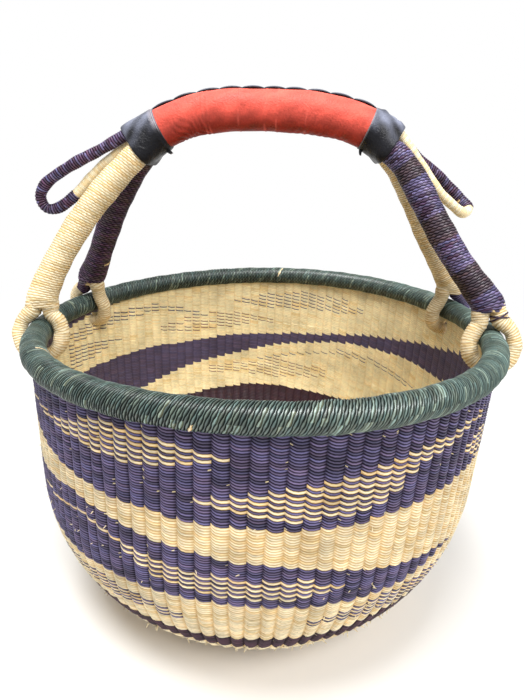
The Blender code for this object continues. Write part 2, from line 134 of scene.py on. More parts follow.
def smooth_row(points: Points, steps: int) -> Points:
    """A smooth row through all the points.

    Args:
        points: Places that the row passes through.
        steps: How many steps each span gets.

    Returns:
        The places of the row, ends included.
    """
    padded = [points[0] * 2 - points[1]] + list(points) + [points[-1] * 2 - points[-2]]
    row = []
    for before, here, there, after in zip(padded, padded[1:], padded[2:], padded[3:]):
        for step in range(steps):
            part = step / steps
            rise = (there - before) * part
            bend = (before * 2 - here * 5 + there * 4 - after) * part ** 2
            turn = (here * 3 - before - there * 3 + after) * part ** 3
            row.append(here + (rise + bend + turn) / 2)
    row.append(points[-1].copy())
    return row


def curve_point(handles: Points, part: float) -> Vector:
    """A point so far along the smooth curve that a row of handles draws."""
    while len(handles) > 1:
        handles = [blend(here, there, part) for here, there in zip(handles, handles[1:])]
    return handles[0]


class Rail:
    """A centre line that is read by length, with two directions square to it at each place."""

    def __init__(self, places: Points, references: Points, closed: bool = False) -> None:
        """Measures the line and squares its directions.

        Args:
            places: Points of the line, in order.
            references: Near each point, the direction that the section's first axis keeps to.
            closed: Whether the last point leads back to the first.
        """
        spots = np.array([tuple(place) for place in places])
        first = np.array([tuple(reference) for reference in references])
        if closed:
            ring = np.vstack([spots[-1:], spots, spots[:2]])
            spots = np.vstack([spots, spots[:1]])
            first = np.vstack([first, first[:1]])
            slopes = ring[2:] - ring[:-2]
        else:
            slopes = np.gradient(spots, axis=0)
        slopes /= np.linalg.norm(slopes, axis=1, keepdims=True)
        first -= slopes * np.sum(first * slopes, axis=1, keepdims=True)
        first /= np.linalg.norm(first, axis=1, keepdims=True)
        self.lengths = np.concatenate([[0], np.cumsum(np.linalg.norm(np.diff(spots, axis=0), axis=1))])
        self.spots = spots
        self.first = first
        self.second = np.cross(slopes, first)
        self.length = float(self.lengths[-1])

    def read(self, values: Rows, lengths: Rows) -> Rows:
        """Vectors of the rail at some lengths along it."""
        return np.stack([np.interp(lengths, self.lengths, values[:, axis]) for axis in range(3)], axis=-1)

    def place(self, lengths: Rows, across: Rows, over: Rows) -> Rows:
        """Places beside the rail, by length and by offsets along its two directions."""
        centre = self.read(self.spots, lengths)
        first = self.read(self.first, lengths)
        second = self.read(self.second, lengths)
        return centre + first * across[..., None] + second * over[..., None]


def carried_references(places: Points, start: Vector) -> Points:
    """Directions that follow a line from its start without twisting round it."""
    carried = []
    reference = start
    for at, _ in enumerate(places):
        slope = (places[min(at + 1, len(places) - 1)] - places[max(at - 1, 0)]).normalized()
        reference = (reference - slope * reference.dot(slope)).normalized()
        carried.append(reference)
    return carried


@dataclass(frozen=True)
class BowlShape:
    """Sizes of the level bowl, and how its mouth leans, dips and is oval, as the model holds them."""

    base_radius: float = 0.098
    wall_radius: float = 0.18975
    thickness: float = 0.0055
    rim_height: float = 0.240
    rim_core_radius: float = 0.0063
    binding_radius: float = 0.00925
    touch_gap: float = 0.0003
    radius_shares: tuple[float, ...] = (0.153, 0.327, 0.512, 0.698, 0.839, 0.934, 0.981, 0.992, 0.997, 1.0)
    height_shares: tuple[float, ...] = (0.015, 0.051, 0.1135, 0.201, 0.30, 0.403, 0.506, 0.604, 0.805, 1.0)
    lean_right_share: float = 0.0345
    lean_back_share: float = 0.0033
    saddle_height: float = 0.0025
    saddle_direction: float = math.radians(79)
    oval_share: float = 0.0128
    oval_direction: float = math.radians(-58)
    frame_nudge: float = math.radians(3.75)

    @property
    def rim_radius(self) -> float:
        """Radius of the rim's centre line."""
        return self.wall_radius - self.thickness / 2

    @property
    def wall_top(self) -> float:
        """Height at which the level wall ends under the rim's bundle."""
        return self.rim_height - self.rim_core_radius - self.touch_gap

    def settled(self, places: Rows) -> Rows:
        """Where points of the level, round bowl lie once the mouth has its hand-made set."""
        x, y, z = places[..., 0], places[..., 1], places[..., 2]
        rise = z / self.rim_height
        turn = np.arctan2(y, x)
        swell = 1 + self.oval_share * rise * np.cos(2 * (turn - self.oval_direction))
        dip = self.saddle_height * np.cos(2 * (turn - self.saddle_direction))
        lean = self.lean_right_share * x + self.lean_back_share * y
        return np.stack([x * swell, y * swell, z + (lean + dip) * rise], axis=-1)

    def rim_point(self, angle: float) -> Vector:
        """Centre of the rim at an angle."""
        level = (self.rim_radius * math.cos(angle), self.rim_radius * math.sin(angle), self.rim_height)
        return Vector(self.settled(np.array(level)))

    def rim_frame(self, angle: float) -> tuple[Vector, Vector, Vector, Vector]:
        """Centre of the rim, its direction, the outward direction and the upward one."""
        ahead = self.rim_point(angle + self.frame_nudge)
        along = (ahead - self.rim_point(angle - self.frame_nudge)).normalized()
        outward = along.cross(Vector((0, 0, 1))).normalized()
        return self.rim_point(angle), along, outward, outward.cross(along)


class Meridian:
    """The bowl's outer line from the top of the wall down to the middle of the base, read by length."""

    def __init__(self, shape: BowlShape, steps: int = 12, flat_lead: float = 0.030) -> None:
        """Draws the smooth line through the wall's outline.

        Args:
            shape: The bowl's sizes.
            steps: Steps in each span of the outline.
            flat_lead: Length of flat base that the curve of the wall runs out into.
        """
        outline = [Vector((shape.base_radius - flat_lead, 0)), Vector((shape.base_radius, 0))]
        for radius_share, height_share in zip(shape.radius_shares, shape.height_shares):
            radius = blend(shape.base_radius, shape.wall_radius, radius_share)
            outline.append(Vector((radius, shape.wall_top * height_share)))
        line = np.array([tuple(point) for point in smooth_row(outline, steps)])[::-1]
        line = np.vstack([line[:1] + [[0, shape.rim_height - shape.wall_top]], line, [[0.0, 0.0]]])
        line[:, 1] = np.maximum(line[:, 1], 0.0)
        lengths = np.concatenate([[0], np.cumsum(np.linalg.norm(np.diff(line, axis=0), axis=1))])
        self.lengths = lengths - (shape.rim_height - shape.wall_top)
        self.line = line
        slopes = np.gradient(line, self.lengths, axis=0)
        slopes /= np.linalg.norm(slopes, axis=1, keepdims=True)
        self.normals = np.stack([-slopes[:, 1], slopes[:, 0]], axis=1)
        self.length = float(self.lengths[-1])

    def read(self, values: Rows, down: Rows) -> tuple[Rows, Rows]:
        """Radial and upright parts of the line's values at some distances down the wall."""
        return np.interp(down, self.lengths, values[:, 0]), np.interp(down, self.lengths, values[:, 1])


def hash_noise(first: Rows, second: Rows, seed: float) -> Rows:
    """Repeatable values from 0 to 1 for pairs of whole numbers."""
    mixed = np.sin(first * 127.1 + second * 311.7 + seed * 74.7) * 43758.5453
    return mixed - np.floor(mixed)


def between(angles: Rows, down: Rows, top: Path2D, bottom: Path2D) -> Rows:
    """Which places lie between two lines on the wall.

    Args:
        angles: Angles of the places, in degrees.
        down: Distances down the wall, in millimetres.
        top: Upper line, as pairs of angle and distance.
        bottom: Lower line, in the same way.

    Returns:
        True for each place between the lines, within the angles that both cover.
    """
    top_at, top_down = zip(*top)
    bottom_at, bottom_down = zip(*bottom)
    start = max(top_at[0], bottom_at[0])
    end = min(top_at[-1], bottom_at[-1])
    upper = np.interp(angles, top_at, top_down)
    lower = np.interp(angles, bottom_at, bottom_down)
    return (angles >= start) & (angles <= end) & (down > upper) & (down < lower)


@dataclass(frozen=True)
class Pattern:
    """Which grass each stitch of the wall is made of. Angles in degrees, distances down in millimetres."""

    spiral_top: Path2D = (
        (128, -9), (335, -9), (350, 12), (375, 33), (400, 46), (420, 58), (445, 67), (480, 69.5), (505, 67),
        (525, 63), (550, 70), (575, 76), (590, 70), (615, 82), (630, 87), (650, 99), (680, 117),
    )
    spiral_bottom: Path2D = (
        (128, -3), (136, 1), (152, 3), (166, 7), (180, 14), (200, 40), (215, 50), (245, 60), (285, 64), (320, 58), (375, 61), (400, 63), (420, 67),
        (440, 79), (480, 104), (505, 118), (530, 123), (575, 124), (630, 122), (660, 127), (680, 117),
    )
    maroon_top: Path2D = (
        (0, 145), (15, 142), (90, 136), (165, 145), (215, 160), (240, 165), (290, 166), (300, 159), (345, 148),
        (360, 145),
    )
    maroon_bottom: Path2D = ((0, 184), (90, 182), (180, 188), (270, 186), (360, 184))
    mixed: tuple[tuple[Path2D, Path2D], ...] = (
        (
            ((196, 22), (215, 20), (225, 20), (230, 17), (240, 8), (250, 7), (260, 14), (268, 19)),
            ((196, 23), (222, 27), (235, 30), (240, 32), (250, 28), (260, 24), (268, 19)),
        ),
        (((260, 44), (270, 39), (280, 34), (290, 29), (295, 27)), ((260, 46), (270, 55), (280, 58), (295, 52))),
        (((295, 27), (300, 22), (310, 18), (320, 17), (324, 18)), ((295, 52), (301, 34), (310, 26), (324, 22))),
        (((318, 36), (324, 33), (332, 40)), ((318, 44), (324, 56), (332, 52))),
        (
            ((211, 92), (225, 87), (233, 83), (243, 88), (253, 95), (260, 98), (270, 100), (280, 101), (289, 110)),
            ((211, 96), (225, 91), (233, 88), (243, 93), (250, 108), (260, 116), (270, 117), (280, 115), (289, 111)),
        ),
    )
    dashes: tuple[tuple[Path2D, Path2D], ...] = (
        (((215, 138), (228, 134), (240, 132), (258, 141)), ((215, 144), (228, 150), (240, 151), (258, 145))),
        (((283, 141), (292, 134), (305, 131), (318, 133), (330, 139)),
         ((283, 147), (292, 150), (305, 153), (318, 155), (330, 147))),
        (((50, 20), (60, 13), (75, 12), (90, 16), (101, 24)), ((50, 27), (60, 32), (75, 34), (90, 32), (101, 26))),
        (((112, 37), (120, 28), (133, 15), (150, 12), (172, 15)), ((112, 42), (120, 35), (133, 24), (150, 25), (172, 30))),
        (((148, 45), (155, 40), (160, 36), (172, 30)), ((148, 48), (155, 51), (160, 53), (172, 54))),
        (((25, 86), (45, 75), (58, 76), (70, 84), (92, 97)), ((25, 92), (45, 84), (58, 83), (70, 91), (92, 104))),
    )
    faint: tuple[tuple[Path2D, Path2D], ...] = (
        (((86, 46), (100, 39), (116, 36), (130, 43)), ((86, 51), (100, 57), (116, 58), (130, 51))),
        (((62, 108), (72, 104), (85, 98), (112, 106)), ((62, 114), (72, 120), (85, 125), (112, 116))),
    )
    base_ring: tuple[float, float] = (322.0, 338.0)

    def dyes(self, angles: Rows, down: Rows, stake: Rows, row: Rows) -> Rows:
        """The colour of each stitch.

        Args:
            angles: Angle of each stitch.
            down: Distance of each stitch down the wall.
            stake: Number of the stake that each stitch crosses.
            row: Number of its row.

        Returns:
            One colour for each stitch, in light values.
        """
        angles = np.mod(angles, 360)
        chance = hash_noise(stake, row, 1.0)
        purple = np.zeros(angles.shape, dtype=bool)
        for turn in (0, 360):
            purple |= between(angles + turn, down, self.spiral_top, self.spiral_bottom)
        maroon = between(angles, down, self.maroon_top, self.maroon_bottom)
        maroon |= (down > self.base_ring[0]) & (down < self.base_ring[1])
        even = np.mod(stake + row, 2) == 0
        for top, bottom in self.mixed:
            purple &= ~(between(angles, down, top, bottom) & even)
        dark = np.zeros(angles.shape, dtype=bool)
        for top, bottom in self.dashes:
            dark |= between(angles, down, top, bottom) & even & (chance < 0.96)
        brown = np.zeros(angles.shape, dtype=bool)
        for top, bottom in self.faint:
            brown |= between(angles, down, top, bottom) & even & (chance < 0.85)
        colours = np.broadcast_to(linear(Dye.NATURAL.value), angles.shape + (3,)).copy()
        colours[chance > 0.78] = linear(Dye.TAN.value)
        colours[brown] = linear(Dye.PINK_TAN.value)
        colours[dark | purple] = linear(Dye.PURPLE.value)
        colours[maroon] = linear(Dye.WINE.value)
        return colours


@dataclass
class TwinedBand:
    """One ring of twined rows: a relief of stitches outside and inside, closed at its edges."""

    name: str
    start: float
    rows: int
    stakes: int
    first_row: int = 0
    sink: float = 0.0
    has_slits: bool = False
    pitch: float = 1.95 * MM
    stitch_shares: tuple[float, ...] = (0.0, 0.15, 0.35, 0.6, 0.85, 1.0)
    swell_shares: tuple[float, ...] = (0.0, 0.62, 1.0, 0.85, 0.45, 0.0)
    ridge_shares: tuple[float, ...] = (0.0, 1.0, 0.7)
    # Depth of the painted shade at each level of a row, deepest in the gap between rows
    gap_shade_shares: tuple[float, ...] = (1.0, 0.1, 0.9)
    sag_rows: float = 0.5
    inner_sag_rows: float = 0.2
    stake_swell: float = 0.0011
    inner_swell: float = 0.0008
    ridge_height: float = 0.0008
    tone_spread: float = 1.1
    speck_share: float = 0.012

    @property
    def columns(self) -> int:
        """Number of grid steps round the band, with one lost step between stakes."""
        return self.stakes * len(self.stitch_shares) - 1

    @property
    def levels(self) -> int:
        """Number of grid steps down the band."""
        return self.rows * len(self.ridge_shares)


@dataclass
class TwinedBowl:
    """The basket's wall and base, twined over upright stakes in one spiral of rows."""

    shape: BowlShape
    pattern: Pattern
    stakes: int = 112
    top: float = -3.5 * MM
    band_rows: int = 28
    wall_bands: int = 5
    foot_columns: tuple[int, ...] = (5, 50, 59, 108, 117)
    foot_angles: tuple[float, ...] = (15.3, 159.5, 189.5, 346.0, 375.3)
    slit_down: float = 0.0113
    slit_half_height: float = 0.0087
    slit_half_width: float = 0.0046
    slit_reach: float = 1.5
    wobble: float = 0.0006
    sway: float = 0.0005

    def angle_of(self, column: Rows, share: float) -> Rows:
        """Angle of a column of the wall, in radians, with a column's edge at each foot of the handle."""
        wall_column = column * share
        turns = np.floor((wall_column - self.foot_columns[0]) / self.stakes)
        angles = np.interp(wall_column - turns * self.stakes, self.foot_columns, self.foot_angles)
        return np.radians(angles + turns * 360)

    def slit_push(self, column: Rows, side: Rows, down: Rows) -> Rows:
        """How far stitches are pushed along the wall by the loops that pass between the stakes.

        Args:
            column: Column coordinate of each vertex.
            side: 1 for a vertex at its stitch's left end, -1 for any other.
            down: Distance of each vertex down the wall.

        Returns:
            The push round the basket, in metres.
        """
        push = np.zeros(column.shape)
        lens = np.maximum(0.0, 1 - ((down - self.slit_down) / self.slit_half_height) ** 2) ** 2
        for foot in self.foot_columns[:-1]:
            for lap in (-self.stakes, 0, self.stakes):
                away = column - foot - lap
                direction = np.where(away == 0, side, np.sign(away))
                push += direction * lens * self.slit_half_width * np.exp(-np.abs(away) / self.slit_reach)
        return push

    def sheet(self, band: TwinedBand, outside: bool, meridian: Meridian) -> bpy.types.Mesh:
        """One side of a band, as a grid of stitches with their colours.

        Args:
            band: The band's sizes.
            outside: Whether it is the outer side or the inner one.
            meridian: The bowl's outer line.

        Returns:
            A mesh with a level number on each vertex, a colour and a strand map on each corner.
        """
        body = bmesh.new()
        bmesh.ops.create_grid(body, x_segments=band.columns, y_segments=band.levels, size=0.5)
        span = len(band.stitch_shares)
        gaps = [
            face for face in body.faces
            if int((face.calc_center_median().x + 0.5) * band.columns) % span == span - 1
        ]
        bmesh.ops.delete(body, geom=gaps, context="FACES")
        mesh = bpy.data.meshes.new(band.name + ("_out" if outside else "_in"))
        body.to_mesh(mesh)
        body.free()
        flat = np.empty(len(mesh.vertices) * 3)
        mesh.vertices.foreach_get("co", flat)
        flat = flat.reshape(-1, 3)
        across = np.rint((flat[:, 0] + 0.5) * band.columns).astype(int)
        level = np.rint((flat[:, 1] + 0.5) * band.levels).astype(int)
        step = across % span
        stake = across // span
        share = np.array(band.stitch_shares)[step]
        run = share if outside else 1 - share
        ridges = len(band.ridge_shares)
        sag = band.sag_rows if outside else band.inner_sag_rows
        down = band.start + band.pitch * (level / ridges + run + sag * np.sin(np.pi * share))
        column = stake + share
        swell = np.array(band.swell_shares)[step if outside else span - 1 - step]
        ridge = np.array(band.ridge_shares)[level % ridges] * (0.25 + 0.75 * swell)
        cell = hash_noise(stake, level // ridges + band.first_row, 3.0)
        inner_step = (step > 0) & (step < span - 1)
        relief = (band.stake_swell if outside else band.inner_swell) * (1 - swell) + band.ridge_height * (1 - ridge)
        relief = relief + np.where(inner_step, (cell - 0.5) * 0.00022, 0.0) + band.sink
        depth = -relief if outside else relief - self.shape.thickness
        ratio = self.stakes / band.stakes
        angle = self.angle_of(column, ratio)
        waves = np.sin(7 * angle + down * 90) + np.sin(13 * angle - down * 55 + 2.0) * 0.6
        down = down + self.wobble * waves * np.clip(down / 0.02, 0, 1)
        radius, height = meridian.read(meridian.line, down)
        normal_out, normal_up = meridian.read(meridian.normals, down)
        normal_out = np.abs(normal_out)
        normal_up = -np.abs(normal_up)
        radius = radius + normal_out * depth
        height = height + normal_up * depth
        sway = np.sin(61 * angle) * np.sin(down * 60 + 9 * angle) * self.sway
        if band.has_slits:
            left = np.where(step == 0, 1, -1)
            sway = sway + self.slit_push(column, left, down)
        angle = angle + sway / np.maximum(radius, 0.02)
        level_places = np.stack([radius * np.cos(angle), radius * np.sin(angle), height], axis=-1)
        mesh.vertices.foreach_set("co", self.shape.settled(level_places).ravel())
        mark = mesh.attributes.new("level", "INT", "POINT")
        mark.data.foreach_set("value", (level + (0 if outside else 10000)).astype(np.int32))
        self.paint(mesh, band, across, level, outside)
        return mesh

    def paint(self, mesh: bpy.types.Mesh, band: TwinedBand, across: Rows, level: Rows, outside: bool) -> None:
        """Gives each stitch its grass colour and its own stretch of fibre, and paints shade into the gaps between rows
        and beside the stakes.

        Args:
            mesh: The side of the band.
            band: The band's sizes.
            across: Grid column of each vertex.
            level: Grid level of each vertex.
            outside: Whether it is the outer side.
        """
        span = len(band.stitch_shares)
        ridges = len(band.ridge_shares)
        corners = np.empty(len(mesh.loops), dtype=np.int32)
        mesh.loops.foreach_get("vertex_index", corners)
        corner_across = across[corners].reshape(-1, 4)
        corner_level = level[corners].reshape(-1, 4)
        stake = corner_across.min(axis=1) // span
        row = corner_level.min(axis=1) // ridges
        middle = 0.5
        down = band.start + band.pitch * (row + 2 * middle)
        ratio = self.stakes / band.stakes
        angles = np.degrees(self.angle_of(stake + middle, ratio))
        colours = self.pattern.dyes(angles, down / MM, stake, row + band.first_row)
        first_step = corner_across.min(axis=1) % span
        if not outside:
            other = self.pattern.dyes(angles, down / MM, stake, row + band.first_row + 1)
            shown_less = (first_step == 0) | (corner_level.min(axis=1) % ridges == 0)
            paler = shown_less & (other.mean(axis=1) > colours.mean(axis=1))
            colours[paler] = other[paler]
        step = corner_across % span
        swell = np.array(band.swell_shares)[step if outside else span - 1 - step]
        # Painted shade: each grass's gap tint, laid on most deeply beside the stakes and between rows, and less on the
        # inner side
        gaps = gap_shade_tints(colours)[:, None, :]
        toned = tone_noise(colours, hash_noise(stake, row, 2.0), band.tone_spread * (1.0 if outside else 0.35))
        painted_edge_shade = np.clip(1 - swell * 1.6, 0, 1) * (0.75 if outside else 0.5)
        painted_gap_shade = np.array(band.gap_shade_shares)[corner_level % ridges] * (1.0 if outside else 0.42)
        # The inner side is painted in its own light: pale grass lighter and warmer as bounce light, dark grass darker
        if not outside:
            toned = toned * blend(np.array(INNER_DARK), np.array(INNER_PALE_BOUNCE_LIGHT), paleness(colours))
        painted_shade = np.maximum(painted_edge_shade, painted_gap_shade)[..., None]
        # Tan specks of straw in dark grass, under an even painted shade
        speck = hash_noise(stake * 7 + first_step, corner_level.min(axis=1), 11.0) < band.speck_share
        speck &= (first_step % 4 == 0) & (colours.mean(axis=1) < 0.2) & outside
        toned[speck] = linear(Dye.TAN.value)
        painted_shade = np.where(speck[:, None, None], 0.4, painted_shade)
        tinted = np.ones((len(colours), 4, 4))
        tinted[..., :3] = toned[:, None, :] * (1 - painted_shade + painted_shade * gaps)
        # The alpha is lowest in the deepest painted shade, and thins the coat there
        tinted[..., 3] = 1 - painted_shade[..., 0]
        tint = mesh.color_attributes.new("grass", "FLOAT_COLOR", "CORNER")
        tint.data.foreach_set("color", tinted.ravel())
        shift = hash_noise(stake, row, 5.0) * 40
        strand = mesh.uv_layers.new(name="strand")
        length = np.array(band.stitch_shares)[step] * 1.0 + shift[:, None]
        width = corner_level / ridges + hash_noise(stake, row, 6.0)[:, None]
        strand.data.foreach_set("uv", np.stack([length, width], axis=-1).ravel())

    def close(self, band: TwinedBand, outer: bpy.types.Mesh, inner: bpy.types.Mesh) -> bpy.types.Object:
        """Joins the two sides of a band into one closed piece.

        Args:
            band: The band's sizes.
            outer: Its outer side.
            inner: Its inner side.

        Returns:
            The finished object.
        """
        body = bmesh.new()
        body.from_mesh(outer)
        body.from_mesh(inner)
        bmesh.ops.remove_doubles(body, verts=body.verts, dist=0.01 * MM)
        marks = body.verts.layers.int["level"]
        ridges = len(band.ridge_shares)
        rims: dict[str, list[bmesh.types.BMEdge]] = {"top": [], "bottom": [], "slit": []}
        for edge in body.edges:
            if not edge.is_boundary:
                continue
            levels = [vertex[marks] % 10000 for vertex in edge.verts]
            if max(levels) <= ridges:
                rims["top"].append(edge)
            elif min(levels) >= band.levels - ridges:
                rims["bottom"].append(edge)
            else:
                rims["slit"].append(edge)
        for edges in self.slit_groups(rims["slit"]):
            bmesh.ops.bridge_loops(body, edges=edges)
        for edges in (rims["top"], rims["bottom"]):
            bmesh.ops.bridge_loops(body, edges=edges)
        face_outwards(body)
        mesh = bpy.data.meshes.new(band.name)
        body.to_mesh(mesh)
        body.free()
        for side in (outer, inner):
            bpy.data.meshes.remove(side)
        mesh.attributes.remove(mesh.attributes["level"])
        return show(band.name, mesh, BASKET)

    def slit_groups(self, edges: list[bmesh.types.BMEdge]) -> list[list[bmesh.types.BMEdge]]:
        """The slits' edges, sorted by the foot that each belongs to."""
        groups = []
        for degrees in self.foot_angles[:-1]:
            heading = Vector((math.cos(math.radians(degrees)), math.sin(math.radians(degrees)), 0))
            near = [edge for edge in edges if edge.verts[0].co.xy.normalized().dot(heading.xy) > 0.98]
            if near:
                groups.append(near)
        return groups

    def bands(self, meridian: Meridian) -> list[TwinedBand]:
        """The bands from the rim down to the middle of the base."""
        made = []
        rows_down = 0
        for number in range(self.wall_bands):
            start = self.top + rows_down * TwinedBand.pitch
            made.append(TwinedBand(
                f"twined_wall_{number + 1}", start, self.band_rows, self.stakes, first_row=rows_down,
                has_slits=number == 0,
            ))
            rows_down += self.band_rows
        for number, (share, rows) in enumerate(((2, 26), (4, 14), (8, 10))):
            start = self.top + (rows_down - 1) * TwinedBand.pitch
            made.append(TwinedBand(
                f"twined_base_{number + 1}", start, rows, self.stakes // share, first_row=rows_down - 1,
                sink=0.0003 * (number + 1), sag_rows=0.3,
            ))
            rows_down += rows - 1
        return made

    def build(self, finish: "GrassFinish") -> None:
        """Makes the whole bowl's wall and base."""
        meridian = Meridian(self.shape)
        for band in self.bands(meridian):
            outer = self.sheet(band, True, meridian)
            inner = self.sheet(band, False, meridian)
            piece = self.close(band, outer, inner)
            piece.data.materials.append(finish.material())
            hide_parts("woven_bowl")
            log.info("%s: %d faces", piece.name, len(piece.data.polygons))


def edge_index(edge: bmesh.types.BMEdge) -> int:
    """Number of an edge, for sorting."""
    return edge.index


def face_outwards(body: bmesh.types.BMesh) -> None:
    """Turns all faces of a closed mesh outwards."""
    bmesh.ops.recalc_face_normals(body, faces=body.faces)
    if body.calc_volume(signed=True) < 0:
        bmesh.ops.reverse_faces(body, faces=body.faces)


def show(name: str, mesh: bpy.types.Mesh, body: str) -> bpy.types.Object:
    """Puts a finished mesh in the scene as a piece that rides on a body.

    Args:
        name: Name of the piece.
        mesh: Its mesh, in place.
        body: The body that carries it.

    Returns:
        The new object.
    """
    mesh.shade_smooth()
    piece = bpy.data.objects.new(name, mesh)
    bpy.context.scene.collection.objects.link(piece)
    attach(piece, body)
    return piece


def socket(node: bpy.types.Node, name: str) -> bpy.types.NodeSocket:
    """An input of a node by its name."""
    return node.inputs[name]


def fibre_group() -> bpy.types.NodeTree:
    """The shared effect of dry grass: fine streaks along each strand, and a slow change of tone.

    Returns:
        A node group that takes a colour and a strand map, and gives a colour and a height.
    """
    made = bpy.data.node_groups.get("grass_fibre")
    if made:
        return made
    tree = bpy.data.node_groups.new("grass_fibre", "ShaderNodeTree")
    face = tree.interface
    face.new_socket("Colour", in_out="INPUT", socket_type="NodeSocketColor")
    face.new_socket("Strand", in_out="INPUT", socket_type="NodeSocketVector")
    face.new_socket("Place", in_out="INPUT", socket_type="NodeSocketVector")
    face.new_socket("Contrast", in_out="INPUT", socket_type="NodeSocketFloat")
    face.new_socket("Colour", in_out="OUTPUT", socket_type="NodeSocketColor")
    face.new_socket("Height", in_out="OUTPUT", socket_type="NodeSocketFloat")
    nodes, links = tree.nodes, tree.links
    enter = nodes.new("NodeGroupInput")
    leave = nodes.new("NodeGroupOutput")
    stretch = nodes.new("ShaderNodeVectorMath")
    stretch.operation = "MULTIPLY"
    stretch.inputs[1].default_value = (1.6, 4.5, 1.0)
    links.new(enter.outputs["Strand"], stretch.inputs[0])
    streaks = nodes.new("ShaderNodeTexNoise")
    socket(streaks, "Scale").default_value = 1.6
    socket(streaks, "Detail").default_value = 3.0
    socket(streaks, "Roughness").default_value = 0.6
    links.new(stretch.outputs[0], socket(streaks, "Vector"))
    patches = nodes.new("ShaderNodeTexNoise")
    socket(patches, "Scale").default_value = 45.0
    socket(patches, "Detail").default_value = 2.0
    links.new(enter.outputs["Place"], socket(patches, "Vector"))
    both = nodes.new("ShaderNodeMath")
    both.operation = "MULTIPLY_ADD"
    both.inputs[1].default_value = 0.5
    links.new(patches.outputs["Fac"], both.inputs[0])
    links.new(streaks.outputs["Fac"], both.inputs[2])
    centred = nodes.new("ShaderNodeMath")
    centred.operation = "SUBTRACT"
    centred.inputs[1].default_value = 0.75
    links.new(both.outputs[0], centred.inputs[0])
    strength = nodes.new("ShaderNodeMath")
    strength.operation = "MULTIPLY_ADD"
    strength.inputs[2].default_value = 1.0
    links.new(centred.outputs[0], strength.inputs[0])
    links.new(enter.outputs["Contrast"], strength.inputs[1])
    tone = nodes.new("ShaderNodeVectorMath")
    tone.operation = "SCALE"
    links.new(enter.outputs["Colour"], tone.inputs[0])
    links.new(strength.outputs[0], socket(tone, "Scale"))
    links.new(tone.outputs[0], leave.inputs["Colour"])
    links.new(streaks.outputs["Fac"], leave.inputs["Height"])
    return tree


@dataclass(frozen=True)
class GrassFinish:
    """Dry or dyed grass, whose colour is painted on each stitch or turn with painted shade in the gaps, and whose
    alpha, lower in that painted shade, thins the coat.
    """

    name: str
    gloss: float = 1.0
    roughness: float = 0.42
    coat_ior: float = 1.5
    contrast: float = 1.5
    bump: float = 0.35
    bump_depth: float = 0.0003

    def material(self) -> bpy.types.Material:
        """The finish as a material, made once."""
        made = bpy.data.materials.get(self.name)
        if made:
            return made
        made = bpy.data.materials.new(self.name)
        made.use_nodes = True
        nodes, links = made.node_tree.nodes, made.node_tree.links
        shader = nodes["Principled BSDF"]
        socket(shader, "Roughness").default_value = 0.8
        socket(shader, "Specular IOR Level").default_value = 0.0
        socket(shader, "Coat Roughness").default_value = self.roughness
        socket(shader, "Coat IOR").default_value = self.coat_ior
        paint = nodes.new("ShaderNodeAttribute")
        paint.attribute_name = "grass"
        strand = nodes.new("ShaderNodeUVMap")
        strand.uv_map = "strand"
        place = nodes.new("ShaderNodeTexCoord")
        fibre = nodes.new("ShaderNodeGroup")
        fibre.node_tree = fibre_group()
        socket(fibre, "Contrast").default_value = self.contrast
        shine = nodes.new("ShaderNodeMath")
        shine.operation = "MULTIPLY"
        shine.inputs[1].default_value = self.gloss
        links.new(paint.outputs["Alpha"], shine.inputs[0])
        links.new(shine.outputs[0], socket(shader, "Coat Weight"))
        links.new(paint.outputs["Color"], socket(fibre, "Colour"))
        links.new(strand.outputs["UV"], socket(fibre, "Strand"))
        links.new(place.outputs["Object"], socket(fibre, "Place"))
        links.new(fibre.outputs["Colour"], socket(shader, "Base Color"))
        bump = nodes.new("ShaderNodeBump")
        socket(bump, "Strength").default_value = self.bump
        socket(bump, "Distance").default_value = self.bump_depth
        links.new(fibre.outputs["Height"], socket(bump, "Height"))
        links.new(bump.outputs["Normal"], socket(shader, "Normal"))
        return made


@dataclass(frozen=True)
class StrawFinish:
    """Plain dry straw inside the bound parts, with fibres along one axis."""

    name: str = "plain_straw"
    colour: tuple[float, float, float] = (0.80, 0.69, 0.48)

    def material(self) -> bpy.types.Material:
        """The finish as a material, made once."""
        made = bpy.data.materials.get("dressed_" + self.name)
        if made:
            return made
        made = bpy.data.materials.new("dressed_" + self.name)
        made.use_nodes = True
        nodes, links = made.node_tree.nodes, made.node_tree.links
        shader = nodes["Principled BSDF"]
        socket(shader, "Roughness").default_value = 0.75
        place = nodes.new("ShaderNodeTexCoord")
        grain = nodes.new("ShaderNodeTexNoise")
        socket(grain, "Scale").default_value = 900.0
        socket(grain, "Detail").default_value = 3.0
        links.new(place.outputs["Object"], socket(grain, "Vector"))
        ramp = nodes.new("ShaderNodeValToRGB")
        dark, light = ramp.color_ramp.elements
        dark.position, light.position = 0.3, 0.7
        dark.color = (*(linear(self.colour) * 0.5), 1.0)
        light.color = (*linear(self.colour), 1.0)
        links.new(grain.outputs["Fac"], ramp.inputs["Fac"])
        links.new(ramp.outputs["Color"], socket(shader, "Base Color"))
        return made


